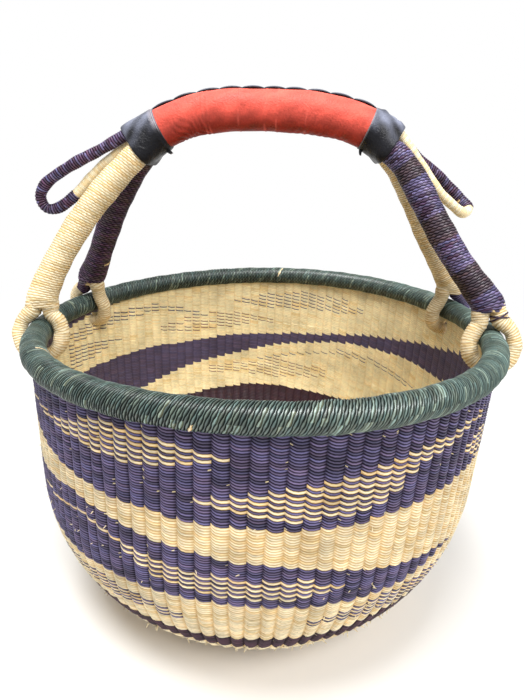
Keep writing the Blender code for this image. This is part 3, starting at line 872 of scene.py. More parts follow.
def hide_group() -> bpy.types.NodeTree:
    """The shared effect of worn goatskin: pores, fine creases and a cloudy change of tone.

    Returns:
        A node group that takes a colour and a place, and gives a colour, a height and a gloss mask.
    """
    made = bpy.data.node_groups.get("goatskin")
    if made:
        return made
    tree = bpy.data.node_groups.new("goatskin", "ShaderNodeTree")
    face = tree.interface
    face.new_socket("Colour", in_out="INPUT", socket_type="NodeSocketColor")
    face.new_socket("Place", in_out="INPUT", socket_type="NodeSocketVector")
    face.new_socket("Clouds", in_out="INPUT", socket_type="NodeSocketFloat")
    face.new_socket("Colour", in_out="OUTPUT", socket_type="NodeSocketColor")
    face.new_socket("Height", in_out="OUTPUT", socket_type="NodeSocketFloat")
    face.new_socket("Gloss", in_out="OUTPUT", socket_type="NodeSocketFloat")
    nodes, links = tree.nodes, tree.links
    enter = nodes.new("NodeGroupInput")
    leave = nodes.new("NodeGroupOutput")
    clouds = nodes.new("ShaderNodeTexNoise")
    socket(clouds, "Scale").default_value = 95.0
    socket(clouds, "Detail").default_value = 5.0
    socket(clouds, "Roughness").default_value = 0.62
    links.new(enter.outputs["Place"], socket(clouds, "Vector"))
    pores = nodes.new("ShaderNodeTexVoronoi")
    pores.feature = "SMOOTH_F1"
    socket(pores, "Scale").default_value = 1100.0
    links.new(enter.outputs["Place"], socket(pores, "Vector"))
    creases = nodes.new("ShaderNodeTexNoise")
    socket(creases, "Scale").default_value = 300.0
    socket(creases, "Detail").default_value = 4.0
    socket(creases, "Distortion").default_value = 1.2
    links.new(enter.outputs["Place"], socket(creases, "Vector"))
    centred = nodes.new("ShaderNodeMath")
    centred.operation = "SUBTRACT"
    centred.inputs[1].default_value = 0.5
    links.new(clouds.outputs["Fac"], centred.inputs[0])
    strength = nodes.new("ShaderNodeMath")
    strength.operation = "MULTIPLY_ADD"
    strength.inputs[2].default_value = 1.0
    links.new(centred.outputs[0], strength.inputs[0])
    links.new(enter.outputs["Clouds"], strength.inputs[1])
    tone = nodes.new("ShaderNodeVectorMath")
    tone.operation = "SCALE"
    links.new(enter.outputs["Colour"], tone.inputs[0])
    links.new(strength.outputs[0], socket(tone, "Scale"))
    height = nodes.new("ShaderNodeMath")
    height.operation = "MULTIPLY_ADD"
    height.inputs[1].default_value = 0.45
    links.new(pores.outputs["Distance"], height.inputs[0])
    links.new(creases.outputs["Fac"], height.inputs[2])
    links.new(tone.outputs[0], leave.inputs["Colour"])
    links.new(height.outputs[0], leave.inputs["Height"])
    links.new(clouds.outputs["Fac"], leave.inputs["Gloss"])
    return tree


@dataclass(frozen=True)
class LeatherFinish:
    """Thin goatskin whose colour, with its painted highlight, sheen and shade, is painted on the piece."""

    name: str
    clouds: float = 0.5
    rough_low: float = 0.34
    rough_high: float = 0.58
    bump: float = 0.5
    bump_depth: float = 0.0005
    gloss: float = 0.5

    def material(self) -> bpy.types.Material:
        """The finish as a material, made once."""
        made = bpy.data.materials.get(self.name)
        if made:
            return made
        made = bpy.data.materials.new(self.name)
        made.use_nodes = True
        nodes, links = made.node_tree.nodes, made.node_tree.links
        shader = nodes["Principled BSDF"]
        socket(shader, "Specular IOR Level").default_value = self.gloss
        paint = nodes.new("ShaderNodeAttribute")
        paint.attribute_name = "dye"
        place = nodes.new("ShaderNodeTexCoord")
        hide = nodes.new("ShaderNodeGroup")
        hide.node_tree = hide_group()
        socket(hide, "Clouds").default_value = self.clouds
        links.new(paint.outputs["Color"], socket(hide, "Colour"))
        links.new(place.outputs["Object"], socket(hide, "Place"))
        links.new(hide.outputs["Colour"], socket(shader, "Base Color"))
        gloss = nodes.new("ShaderNodeMapRange")
        socket(gloss, "From Min").default_value = 0.35
        socket(gloss, "From Max").default_value = 0.65
        socket(gloss, "To Min").default_value = self.rough_low
        socket(gloss, "To Max").default_value = self.rough_high
        links.new(hide.outputs["Gloss"], socket(gloss, "Value"))
        links.new(gloss.outputs["Result"], socket(shader, "Roughness"))
        bump = nodes.new("ShaderNodeBump")
        socket(bump, "Strength").default_value = self.bump
        socket(bump, "Distance").default_value = self.bump_depth
        links.new(hide.outputs["Height"], socket(bump, "Height"))
        links.new(bump.outputs["Normal"], socket(shader, "Normal"))
        return made


@dataclass(frozen=True)
class DyePlan:
    """Which grass a winding is made of: a base, flecks in it, and stretches of another grass."""

    base: Dye
    fleck: Dye = Dye.TAN
    fleck_share: float = 0.1
    rare: Dye = Dye.NATURAL
    rare_share: float = 0.0
    spread: float = 0.35
    piece_steps: float = 2.0
    stretches: tuple[tuple[float, float, Dye], ...] = ()

    def dyes(self, turn: Rows, along: Rows, side: Rows) -> Rows:
        """The colour of each face of a winding.

        Args:
            turn: Number of the turn that each face belongs to.
            along: Share of the winding's length at which each face lies.
            side: Share of the way round at which it lies.

        Returns:
            One colour for each face, in light values.
        """
        piece = np.floor(side * self.piece_steps + hash_noise(turn, turn * 0, 7.0) * 3)
        chance = hash_noise(turn, piece, 8.0)
        colours = np.broadcast_to(linear(self.base.value), turn.shape + (3,)).copy()
        colours[chance > 1 - self.fleck_share] = linear(self.fleck.value)
        colours[chance > 1 - self.rare_share] = linear(self.rare.value)
        for start, end, dye in self.stretches:
            colours[(along >= start) & (along < end)] = linear(dye.value)
        return tone_noise(colours, hash_noise(turn, piece, 9.0), self.spread)


@dataclass(frozen=True)
class Section:
    """Half widths of a winding along its length, as pairs of share and width for the rail's two directions."""

    first: Path2D
    second: Path2D

    def widths(self, along: Rows) -> tuple[Rows, Rows]:
        """Half widths at some shares of the length."""
        return np.interp(along, *zip(*self.first)), np.interp(along, *zip(*self.second))


def round_section(radius: float) -> Section:
    """A round section of one radius."""
    return Section(((0, radius), (1, radius)), ((0, radius), (1, radius)))


@dataclass
class Winding:
    """Grass wound side by side round a bundle, at a slant, as one closed tube."""

    name: str
    rail: Rail
    section: Section
    plan: DyePlan
    replaces: tuple[str, ...]
    slot: str
    body: str = HANDLE
    closed: bool = False
    pitch: float = 1.8 * MM
    slant_turns: int = 3
    sides: int = 16
    ridge: float = 0.00055
    ridge_shares: tuple[float, ...] = (0.0, 1.0, 0.8)
    # Depth of the painted shade at each level of a turn, and how strongly it is laid on
    gap_shade_shares: tuple[float, ...] = (1.0, 0.05, 0.6)
    gap_shade_depth: float = 1.0
    unevenness: float = 0.0002
    waves: int = 0
    wave_share: float = 0.34

    @property
    def turns(self) -> int:
        """Number of turns on the rail, an even one."""
        return max(4, 2 * round(self.rail.length / self.pitch / 2))

    def straight(self, mesh: bpy.types.Mesh) -> None:
        """Rolls a flat grid into a straight tube along +X, slanted so that a turn slips as it goes round.

        Args:
            mesh: The grid, which is painted too. A tube that isn't closed comes out longer than its rail.
        """
        ridges = len(self.ridge_shares)
        flat = np.empty(len(mesh.vertices) * 3)
        mesh.vertices.foreach_get("co", flat)
        flat = flat.reshape(-1, 3)
        along = np.rint((flat[:, 0] + 0.5) * self.steps).astype(int)
        side = np.rint((flat[:, 1] + 0.5) * self.sides).astype(int)
        share = side / self.sides
        early = 0 if self.closed else max(self.slant_turns, 0)
        lengths = (along / ridges - early + self.slant_turns * share) * self.rail.length / self.turns
        angle = 2 * np.pi * share
        mesh.vertices.foreach_set("co", np.stack([lengths, np.cos(angle), np.sin(angle)], axis=-1).ravel())
        self.paint(mesh, along, side, lengths)

    @property
    def steps(self) -> int:
        """Number of grid steps along the tube, with the slant's spare turns where the tube has ends."""
        spare = 0 if self.closed else abs(self.slant_turns)
        return (self.turns + spare) * len(self.ridge_shares)

    def bend(self, body: bmesh.types.BMesh) -> None:
        """Lays the straight tube along its rail and raises its turns.

        Args:
            body: The tube, with its length along +X and a round section of radius 1.
        """
        places = np.array([tuple(vertex.co) for vertex in body.verts])
        lengths = places[:, 0]
        angle = np.arctan2(places[:, 2], places[:, 1])
        ridges = len(self.ridge_shares)
        turn = lengths * self.turns / self.rail.length - self.slant_turns * np.mod(angle / (2 * np.pi), 1.0)
        heights = self.ridge_shares + self.ridge_shares[:1]
        ridge = np.interp(np.mod(turn, 1.0) * ridges, np.arange(ridges + 1), heights)
        if self.closed:
            lengths = np.mod(lengths, self.rail.length)
            lap = 2 * np.pi * lengths / self.rail.length
            wave = np.sin(31 * lap) + 0.7 * np.sin(73 * lap)
        else:
            wave = np.sin(lengths * 160) + 0.7 * np.sin(lengths * 370 + 1.0)
        growth = self.unevenness * wave + (ridge - 1) * self.ridge
        drift = 1.2 * np.sin(10 * np.pi * lengths / self.rail.length)
        swing = np.sin(self.waves * angle + drift) * np.cos(np.pi * turn) * self.wave_share * self.pitch
        if not self.closed:
            swing = swing * np.clip(np.minimum(lengths, self.rail.length - lengths) / self.pitch, 0, 1)
        lengths = lengths + swing * (self.waves > 0)
        if self.closed:
            lengths = np.mod(lengths, self.rail.length)
        first, second = self.section.widths(lengths / self.rail.length)
        laid = self.rail.place(lengths, np.cos(angle) * (first + growth), np.sin(angle) * (second + growth))
        for vertex, place in zip(body.verts, laid):
            vertex.co = place

    def build(self, finish: GrassFinish) -> bpy.types.Object:
        """Makes the winding.

        Args:
            finish: Its grass.

        Returns:
            The finished object.
        """
        grid = bmesh.new()
        bmesh.ops.create_grid(grid, x_segments=self.steps, y_segments=self.sides, size=0.5)
        mesh = bpy.data.meshes.new(self.name)
        grid.to_mesh(mesh)
        grid.free()
        self.straight(mesh)
        self.close(mesh)
        piece = show(self.name, mesh, self.body)
        mesh.materials.append(finish.material())
        if self.replaces:
            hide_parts(*self.replaces)
        log.info("%s: %d faces", piece.name, len(mesh.polygons))
        return piece

    def paint(self, mesh: bpy.types.Mesh, along: Rows, side: Rows, lengths: Rows) -> None:
        """Gives each turn its grass colour and its own stretch of fibre, and paints shade into the gaps between turns.

        Args:
            mesh: The unmerged tube.
            along: Grid step of each vertex along the tube.
            side: Grid step of each vertex round it.
            lengths: Length of each vertex along the rail.
        """
        ridges = len(self.ridge_shares)
        corners = np.empty(len(mesh.loops), dtype=np.int32)
        mesh.loops.foreach_get("vertex_index", corners)
        corner_along = along[corners].reshape(-1, 4)
        corner_side = side[corners].reshape(-1, 4)
        turn = corner_along.min(axis=1) // ridges
        middle = lengths[corners].reshape(-1, 4).mean(axis=1) / self.rail.length
        colours = self.plan.dyes(turn, middle, corner_side.min(axis=1) / self.sides)
        # Painted shade in the gaps between turns
        painted_gap_shade = (np.array(self.gap_shade_shares)[corner_along % ridges] * self.gap_shade_depth)[..., None]
        tinted = np.ones((len(colours), 4, 4))
        tinted[..., :3] = colours[:, None, :] * (1 - painted_gap_shade + painted_gap_shade * gap_shade_tints(colours)[:, None, :])
        tinted[..., 3] = 1 - painted_gap_shade[..., 0]
        tint = mesh.color_attributes.new("grass", "FLOAT_COLOR", "CORNER")
        tint.data.foreach_set("color", tinted.ravel())
        strand = mesh.uv_layers.new(name="strand")
        length = corner_side / self.sides * 5 + hash_noise(turn, turn * 0, 4.0)[:, None] * 30
        strand.data.foreach_set("uv", np.stack([length, corner_along / ridges], axis=-1).ravel())

    def close(self, mesh: bpy.types.Mesh) -> None:
        """Merges the seam of the straight tube, cuts its ends square, caps them and bends it along its rail."""
        body = bmesh.new()
        body.from_mesh(mesh)
        if not self.closed:
            bmesh.ops.remove_doubles(body, verts=body.verts, dist=0.01 * MM)
            for end, outward in ((0.0, -1), (self.rail.length, 1)):
                everything = body.verts[:] + body.edges[:] + body.faces[:]
                bmesh.ops.bisect_plane(
                    body, geom=everything, dist=0.001 * MM, plane_co=(end, 0, 0), plane_no=(outward, 0, 0),
                    clear_outer=True,
                )
            tint = body.loops.layers.float_color["grass"]
            open_edges = [edge for edge in body.edges if edge.is_boundary]
            for face in bmesh.ops.holes_fill(body, edges=open_edges, sides=0)["faces"]:
                for loop in face.loops:
                    loop[tint] = loop.link_loop_radial_next[tint]
        self.bend(body)
        if self.closed:
            bmesh.ops.remove_doubles(body, verts=body.verts, dist=0.01 * MM)
        face_outwards(body)
        body.to_mesh(mesh)
        body.free()


@dataclass
class Rim:
    """The rim: its winding over the grass bundle and the wall's edge."""

    shape: BowlShape
    samples: int = 240
    pitch: float = 1.8 * MM
    radius: float = 0.0094
    slant_turns: int = -12
    sides: int = 28
    ridge: float = 0.0008

    def rail(self) -> Rail:
        """The rim's centre line."""
        frames = [self.shape.rim_frame(2 * math.pi * step / self.samples) for step in range(self.samples)]
        return Rail([place for place, _, _, _ in frames], [outward for _, _, outward, _ in frames], closed=True)

    def build(self, finish: GrassFinish) -> None:
        """Makes the winding."""
        plan = DyePlan(Dye.GREEN, Dye.PALE_GREEN, 0.14, Dye.NATURAL, 0.001, spread=0.9, piece_steps=5.0)
        Winding(
            "rim_winding", self.rail(), round_section(self.radius), plan, ("rim_binding",), "green_grass",
            body=BASKET, closed=True, pitch=self.pitch, slant_turns=self.slant_turns, sides=self.sides,
            ridge=self.ridge, ridge_shares=(0.0, 1.0, 0.7), gap_shade_shares=(1.0, 0.0, 0.85), waves=7, wave_share=0.24,
        ).build(finish)


class Foot(Enum):
    """The four feet of the handle: angle round the rim in degrees, and inset of the fork."""

    FRONT_LEFT = ("front_left", 189.5, 0.002)
    BACK_LEFT = ("back_left", 159.5, 0.008)
    FRONT_RIGHT = ("front_right", 346.0, 0.005)
    BACK_RIGHT = ("back_right", 15.3, 0.0065)

    @property
    def title(self) -> str:
        """The foot's name."""
        return self.value[0]

    @property
    def angle(self) -> float:
        """Its angle round the rim."""
        return math.radians(self.value[1])

    @property
    def inset(self) -> float:
        """How far its fork stands inside the rim's centre line."""
        return self.value[2]


@dataclass(frozen=True)
class HandleShape:
    """Sizes of the handle's arch and of the hoops in it, as the model holds them."""

    bowl: BowlShape
    offset_back: float = 0.0118
    turn: float = math.radians(-2.6)
    crown_height: float = 0.408
    reach_left: float = 0.1086
    reach_right: float = 0.0968
    drop_left: float = 0.0306
    drop_right: float = 0.0208
    arch_power: float = 2.9
    collar_left: float = 0.0207
    collar_right: float = 0.0199
    grip_radius: float = 0.0155
    twist_reach: float = 0.070
    hoop_offset: float = 0.0062
    leg_spread: float = 0.0103
    leg_sag: float = 0.0062
    foot_radius: float = 0.0060
    fork_height: float = 0.0225
    neck_height: float = 0.0172
    flare_share: float = 0.45
    side_play: float = 0.0003
    shoulder_angles: tuple[float, ...] = (math.radians(54), math.radians(29))
    under_steps: int = 6
    lift_travel: float = 0.004
    lean_share: float = 0.22
    ankle: float = 0.014

    def point(self, along: float, across: float, height: float) -> Vector:
        """A point by its place in the handle's own plane, with across running backwards."""
        turned = Matrix.Rotation(self.turn, 3, "Z") @ Vector((along, across, height))
        return turned + Vector((0, self.offset_back, 0))

    @property
    def back(self) -> Vector:
        """The backward direction of the handle's plane."""
        return self.point(0, 1, 0) - self.point(0, 0, 0)

    def side(self, along: float) -> tuple[float, float, float]:
        """Reach, drop and collar length of the side that a place along the handle is on."""
        if along < 0:
            return self.reach_left, self.drop_left, self.collar_left
        return self.reach_right, self.drop_right, self.collar_right

    def arch_height(self, along: float) -> float:
        """Height of the handle's axis."""
        reach, drop, _ = self.side(along)
        return self.crown_height - drop * abs(along / reach) ** self.arch_power

    def frame(self, along: float) -> tuple[Vector, Vector, Vector, Vector]:
        """Centre of the grip, its direction, the backward direction and the upward one."""
        reach, drop, _ = self.side(along)
        slope = -math.copysign(drop * self.arch_power / reach, along) * abs(along / reach) ** (self.arch_power - 1)
        tangent = (self.point(1, 0, slope) - self.point(0, 0, 0)).normalized()
        back = self.back.normalized()
        return self.point(along, 0, self.arch_height(along)), tangent, back, tangent.cross(back)

    def beside(self, along: float, across: float, over: float) -> Vector:
        """A point beside the handle's axis, by its offsets backwards and upwards."""
        centre, _, back, up = self.frame(along)
        return centre + back * across + up * over

    def hoop_in_grip(self, along: float, order: int) -> Vector:
        """Centre of a hoop inside the grip or a collar."""
        turn = math.pi * ease((along + self.twist_reach) / (2 * self.twist_reach))
        across = math.cos(turn) * self.hoop_offset * order
        over = -math.sin(turn) * self.hoop_offset * order
        reach, _, collar = self.side(along)
        part = min(max((abs(along) - reach + collar) / collar, 0.0), 1.0)
        across = blend(across, math.copysign(self.leg_spread, across), part)
        over = blend(over, -self.leg_sag, part)
        return self.beside(along, across, over)

    @property
    def foot_seat(self) -> float:
        """Distance from the rim's centre to a foot loop's centre where the two touch."""
        return self.bowl.binding_radius + self.bowl.touch_gap + self.foot_radius

    @property
    def under_radius(self) -> float:
        """Radius of a foot loop's lower half."""
        return (self.foot_seat + self.side_play) / math.cos(math.pi / (2 * self.under_steps))

    def foot_place(self, foot: Foot, across: float, height: float) -> Vector:
        """A point of a foot loop's own plane, by its offsets outwards and upwards from the rim's centre."""
        centre, along, outward, up = self.bowl.rim_frame(foot.angle)
        inwards = Vector((0, self.offset_back - centre.y, 0))
        lean = self.lean_share * math.copysign(1, inwards.dot(along))
        return centre + outward * across + (up + along * lean) * height

    def foot_half(self, foot: Foot, side: int) -> list[tuple[float, float]]:
        """Offsets of one half of a foot loop: side 1 runs over the rim, side -1 drops inside it."""
        gap = self.bowl.touch_gap
        neck = side * (self.foot_radius + gap / 2) - foot.inset
        flare = foot.inset * self.flare_share if side > 0 else 0.0
        points = [(neck, self.fork_height), (neck + flare, self.neck_height)]
        for turn in self.shoulder_angles:
            across = side * (self.foot_seat + gap) * math.cos(turn)
            points.append((min(across, neck) if side < 0 else across, (self.foot_seat + gap) * math.sin(turn)))
        points.append((side * self.under_radius, 0))
        for step in range(self.under_steps // 2):
            turn = math.pi * step / self.under_steps
            across = side * self.under_radius * math.cos(turn)
            points.append((across, -self.lift_travel - self.under_radius * math.sin(turn)))
        return points


LEG_BOWS: dict[Foot, tuple[tuple[float, float], ...]] = {
    Foot.FRONT_LEFT: ((0.49, 0.32), (0.63, 0.46)),
    Foot.BACK_LEFT: ((0.72, 0.43), (0.87, 1.05)),
    Foot.FRONT_RIGHT: ((0.33, 0.11), (0.44, 0.67)),
    Foot.BACK_RIGHT: ((0.42, 0.21), (0.57, 0.71)),
}


@dataclass
class Leg:
    """One leg of the handle: its winding, and the loop in which it holds the rim."""

    shape: HandleShape
    foot: Foot
    side: int
    order: int
    leg_plan: DyePlan
    foot_plan: DyePlan
    slot: str
    tuck: float = 0.008
    steps: int = 28
    collar_radius: float = 0.0097
    leg_radius: float = 0.0107
    fork_half_width: float = 0.0128
    fork_half_depth: float = 0.0104
    fork_start: float = 0.80
    overlap: float = 0.007
    skirt: float = 0.0
    foot_steps: int = 5
    outer_radius: float = 0.0060
    inner_radius: float = 0.0066
    pitch: float = 2.0 * MM
    slant_turns: int = 4

    @property
    def mouth(self) -> float:
        """Place along the handle of the collar's mouth."""
        return self.side * self.shape.side(self.side)[0]

    def leg_rail(self) -> Rail:
        """Centre line of the leg, from inside its collar down to the fork."""
        start = self.shape.hoop_in_grip(self.mouth, self.order)
        tucked = self.shape.hoop_in_grip(self.mouth - self.side * self.tuck, self.order)
        fork = self.shape.foot_place(self.foot, -self.foot.inset, self.shape.fork_height)
        run = fork - start
        handles = [start]
        for out_share, down_share in LEG_BOWS[self.foot]:
            handles.append(start + Vector((run.x * out_share, run.y * down_share, run.z * down_share)))
        ankle = self.shape.fork_height + self.shape.ankle
        handles += [self.shape.foot_place(self.foot, -self.foot.inset, ankle), fork]
        row = [tucked] + [curve_point(handles, step / self.steps) for step in range(self.steps + 1)]
        if self.skirt > 0:
            row.append(self.shape.foot_place(self.foot, -self.foot.inset, self.shape.fork_height - self.skirt))
        return Rail(row, [self.shape.back] * len(row))

    def leg_section(self) -> Section:
        """Half widths of the leg: full in its middle, and broad where it forks."""
        thick = (
            (0, self.collar_radius), (0.06, self.collar_radius), (0.25, self.leg_radius),
            (self.fork_start, self.leg_radius),
        )
        first = thick + ((0.95, self.fork_half_depth), (1.0, self.fork_half_depth * 0.78))
        second = thick + ((0.95, self.fork_half_width), (1.0, self.fork_half_width * 0.94))
        return Section(first, second)

    def foot_rail(self) -> Rail:
        """Centre line of the foot's loop, from inside the leg's end, under the rim, and back."""
        outer = self.shape.foot_half(self.foot, 1)
        inner = self.shape.foot_half(self.foot, -1)
        top = self.shape.fork_height + self.overlap
        low = (0, -(self.shape.under_radius + self.shape.lift_travel))
        shrink = 0.5
        starts = [((across + self.foot.inset) * shrink - self.foot.inset, top) for across, _ in (outer[0], inner[0])]
        offsets = starts[:1] + outer + [low] + inner[::-1] + starts[1:]
        row = smooth_row([self.shape.foot_place(self.foot, *offset) for offset in offsets], self.foot_steps)
        along = self.shape.bowl.rim_frame(self.foot.angle)[1]
        return Rail(row, [along] * len(row))

    def foot_section(self) -> Section:
        """Half widths of the loop: the inner half is the thicker one, and both narrow at the wall."""
        outer, inner = self.outer_radius, self.inner_radius
        widths = ((0, outer * 1.1), (0.10, outer * 1.12), (0.2, outer), (0.36, outer), (0.5, outer * 0.9))
        widths += ((0.64, inner * 0.95), (0.84, inner), (0.92, inner * 1.06), (1.0, inner * 1.04))
        return Section(widths, widths)

    def build(self, finish: GrassFinish) -> None:
        """Makes the leg's winding and the foot's."""
        title = self.foot.title
        Winding(
            "leg_winding_" + title, self.leg_rail(), self.leg_section(), self.leg_plan,
            ("leg_binding_" + title,), self.slot, pitch=self.pitch,
            slant_turns=self.slant_turns, sides=52, waves=13,
            wave_share=0.18 if self.slot == "natural_grass" else 0.27,
        ).build(finish)
        Winding(
            "foot_winding_" + title, self.foot_rail(), self.foot_section(), self.foot_plan,
            ("foot_binding_" + title,), "natural_grass", pitch=self.pitch, slant_turns=2, sides=28, waves=5,
            wave_share=0.12, unevenness=0.00025,
        ).build(finish)


@dataclass
class EarLoop:
    """A small loop of bound grass that hangs out of a collar, purple on one half and natural on the other."""

    shape: HandleShape
    title: str
    side: int
    strands: tuple[tuple[float, float], tuple[float, float]]
    size_shares: tuple[float, float]
    spread: float
    shares: tuple[tuple[float, float, float], ...]
    change: int
    purple_first: bool
    tuck: float = 0.004
    steps: int = 6
    purple_radius: float = 0.0047
    natural_radius: float = 0.0041
    joint: float = 0.001

    def row(self) -> Points:
        """Centre line of the loop, from inside the collar, out round the loop and back in."""
        shape = self.shape
        mouth = self.side * shape.side(self.side)[0]
        _, tangent, _, _ = shape.frame(mouth)
        outward = tangent * self.side
        reach = (shape.bowl.rim_radius - abs(mouth)) * self.size_shares[0]
        drop = (shape.arch_height(mouth) - shape.bowl.rim_height) * self.size_shares[1]
        start, end = [shape.beside(mouth, across, over) for across, over in self.strands]
        points = [start]
        for reach_share, drop_share, spread_share in self.shares:
            along = mouth + self.side * reach * reach_share
            height = shape.arch_height(mouth) - drop * drop_share
            points.append(shape.point(along, self.spread * spread_share, height))
        points.append(end)
        return [start - outward * self.tuck] + smooth_row(points, self.steps) + [end - outward * self.tuck]

    def build(self, finish: GrassFinish) -> None:
        """Makes the two windings, which meet where the colour changes."""
        row = self.row()
        references = carried_references(row, self.shape.back)
        split = (self.change + 1) * self.steps + 1
        halves = ((0, split + 1, self.purple_first), (split, len(row), not self.purple_first))
        for start, end, purple in halves:
            label = "purple" if purple else "natural"
            radius = self.purple_radius if purple else self.natural_radius
            plan = PURPLE_EAR if purple else DyePlan(Dye.TAN, Dye.NATURAL, 0.4, spread=0.2)
            Winding(
                f"ear_winding_{label}_{self.title}", Rail(row[start:end], references[start:end]),
                round_section(radius), plan, (f"ear_binding_{label}_{self.title}",), label + "_grass",
                pitch=(2.2 if purple else 1.3) * MM, slant_turns=1, sides=12,
                ridge=0.0006 if purple else 0.00018, gap_shade_depth=1.0 if purple else 0.4,
            ).build(finish)


class Hide(Enum):
    """Colours of the leather, as the eye sees them in plain light, with painted highlight, sheen and shade among them.
    """

    RED = (0.80, 0.315, 0.26)
    # Painted shade for the grip's underside
    DEEP_RED_SHADE = (0.48, 0.075, 0.02)
    # Painted highlight for the grip's top, and the pale wear on its folds
    SALMON_HIGHLIGHT_AND_WEAR = (0.85, 0.365, 0.31)
    BLACK = (0.065, 0.065, 0.085)
    # Painted sheen on the tops of the collars and lace, mixed with patchy wear
    SHEEN_AND_WEAR_BLACK = (0.46, 0.475, 0.54)
    CUT_EDGE = (0.66, 0.61, 0.62)


def bump_at(values: Rows, middle: float, width: float) -> Rows:
    """A smooth bump of height 1 round a value."""
    return np.exp(-((values - middle) / width) ** 2)


def window(values: Rows, low: float, high: float, soft: float) -> Rows:
    """1 between two values, with soft ends."""
    rise = np.clip((values - low) / soft, 0, 1)
    fall = np.clip((high - values) / soft, 0, 1)
    return rise * rise * (3 - 2 * rise) * fall * fall * (3 - 2 * fall)


def mixed_hide(start: Hide, end: Hide, part: Rows) -> Rows:
    """Colours between two hides, in light values."""
    return linear(start.value) + (linear(end.value) - linear(start.value)) * np.clip(part, 0, 1)[..., None]


@dataclass
class Sleeve:
    """A hide rolled round the handle's axis; a subclass says how thick it lies and how it is coloured, painted
    highlight and shade included.
    """

    shape: "HandleShape"
    finish: LeatherFinish
    steps: int = 120
    sides: int = 72
    wall: float = 0.0013

    def stations(self) -> Rows:
        """Places along the handle of the sleeve's rings."""
        raise NotImplementedError

    def radius(self, along: Rows, turn: Rows) -> Rows:
        """Distance of the hide from the handle's axis, by place and by angle from the back upwards."""
        raise NotImplementedError

    def dye(self, along: Rows, turn: Rows) -> Rows:
        """Colour of the hide, painted highlight and shade included, in light values."""
        raise NotImplementedError

    def roll(self, name: str, replaced: str, slot: str) -> bpy.types.Object:
        """Rolls a flat hide into the sleeve, gives it its thickness and dyes it.

        Args:
            name: Name of the piece.
            replaced: The node that it stands for.
            slot: Not used.

        Returns:
            The finished object.
        """
        stations = self.stations()
        steps = len(stations) - 1
        body = bmesh.new()
        bmesh.ops.create_grid(body, x_segments=steps, y_segments=self.sides, size=0.5)
        frames = [self.shape.frame(along) for along in stations]
        centre, back, up = [np.array([tuple(frame_row[at]) for frame_row in frames]) for at in (0, 2, 3)]
        flat = np.array([tuple(vertex.co) for vertex in body.verts])
        station = np.rint((flat[:, 0] + 0.5) * steps).astype(int)
        turn = 2 * np.pi * np.rint((flat[:, 1] + 0.5) * self.sides) / self.sides
        reach = self.radius(stations[station], turn)[:, None]
        places = centre[station] + (back[station] * np.cos(turn)[:, None] + up[station] * np.sin(turn)[:, None]) * reach
        tint = body.verts.layers.float_color.new("dye")
        colours = self.dye(stations[station], turn)
        for vertex, place, colour in zip(body.verts, places, colours):
            vertex.co = place
            vertex[tint] = (*colour, 1.0)
        bmesh.ops.remove_doubles(body, verts=body.verts, dist=0.01 * MM)
        bmesh.ops.recalc_face_normals(body, faces=body.faces)
        bmesh.ops.solidify(body, geom=body.faces[:], thickness=self.wall)
        face_outwards(body)
        mesh = bpy.data.meshes.new(name)
        body.to_mesh(mesh)
        body.free()
        piece = show(name, mesh, HANDLE)
        mesh.materials.append(self.finish.material())
        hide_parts(replaced)
        log.info("%s: %d faces", name, len(mesh.polygons))
        return piece


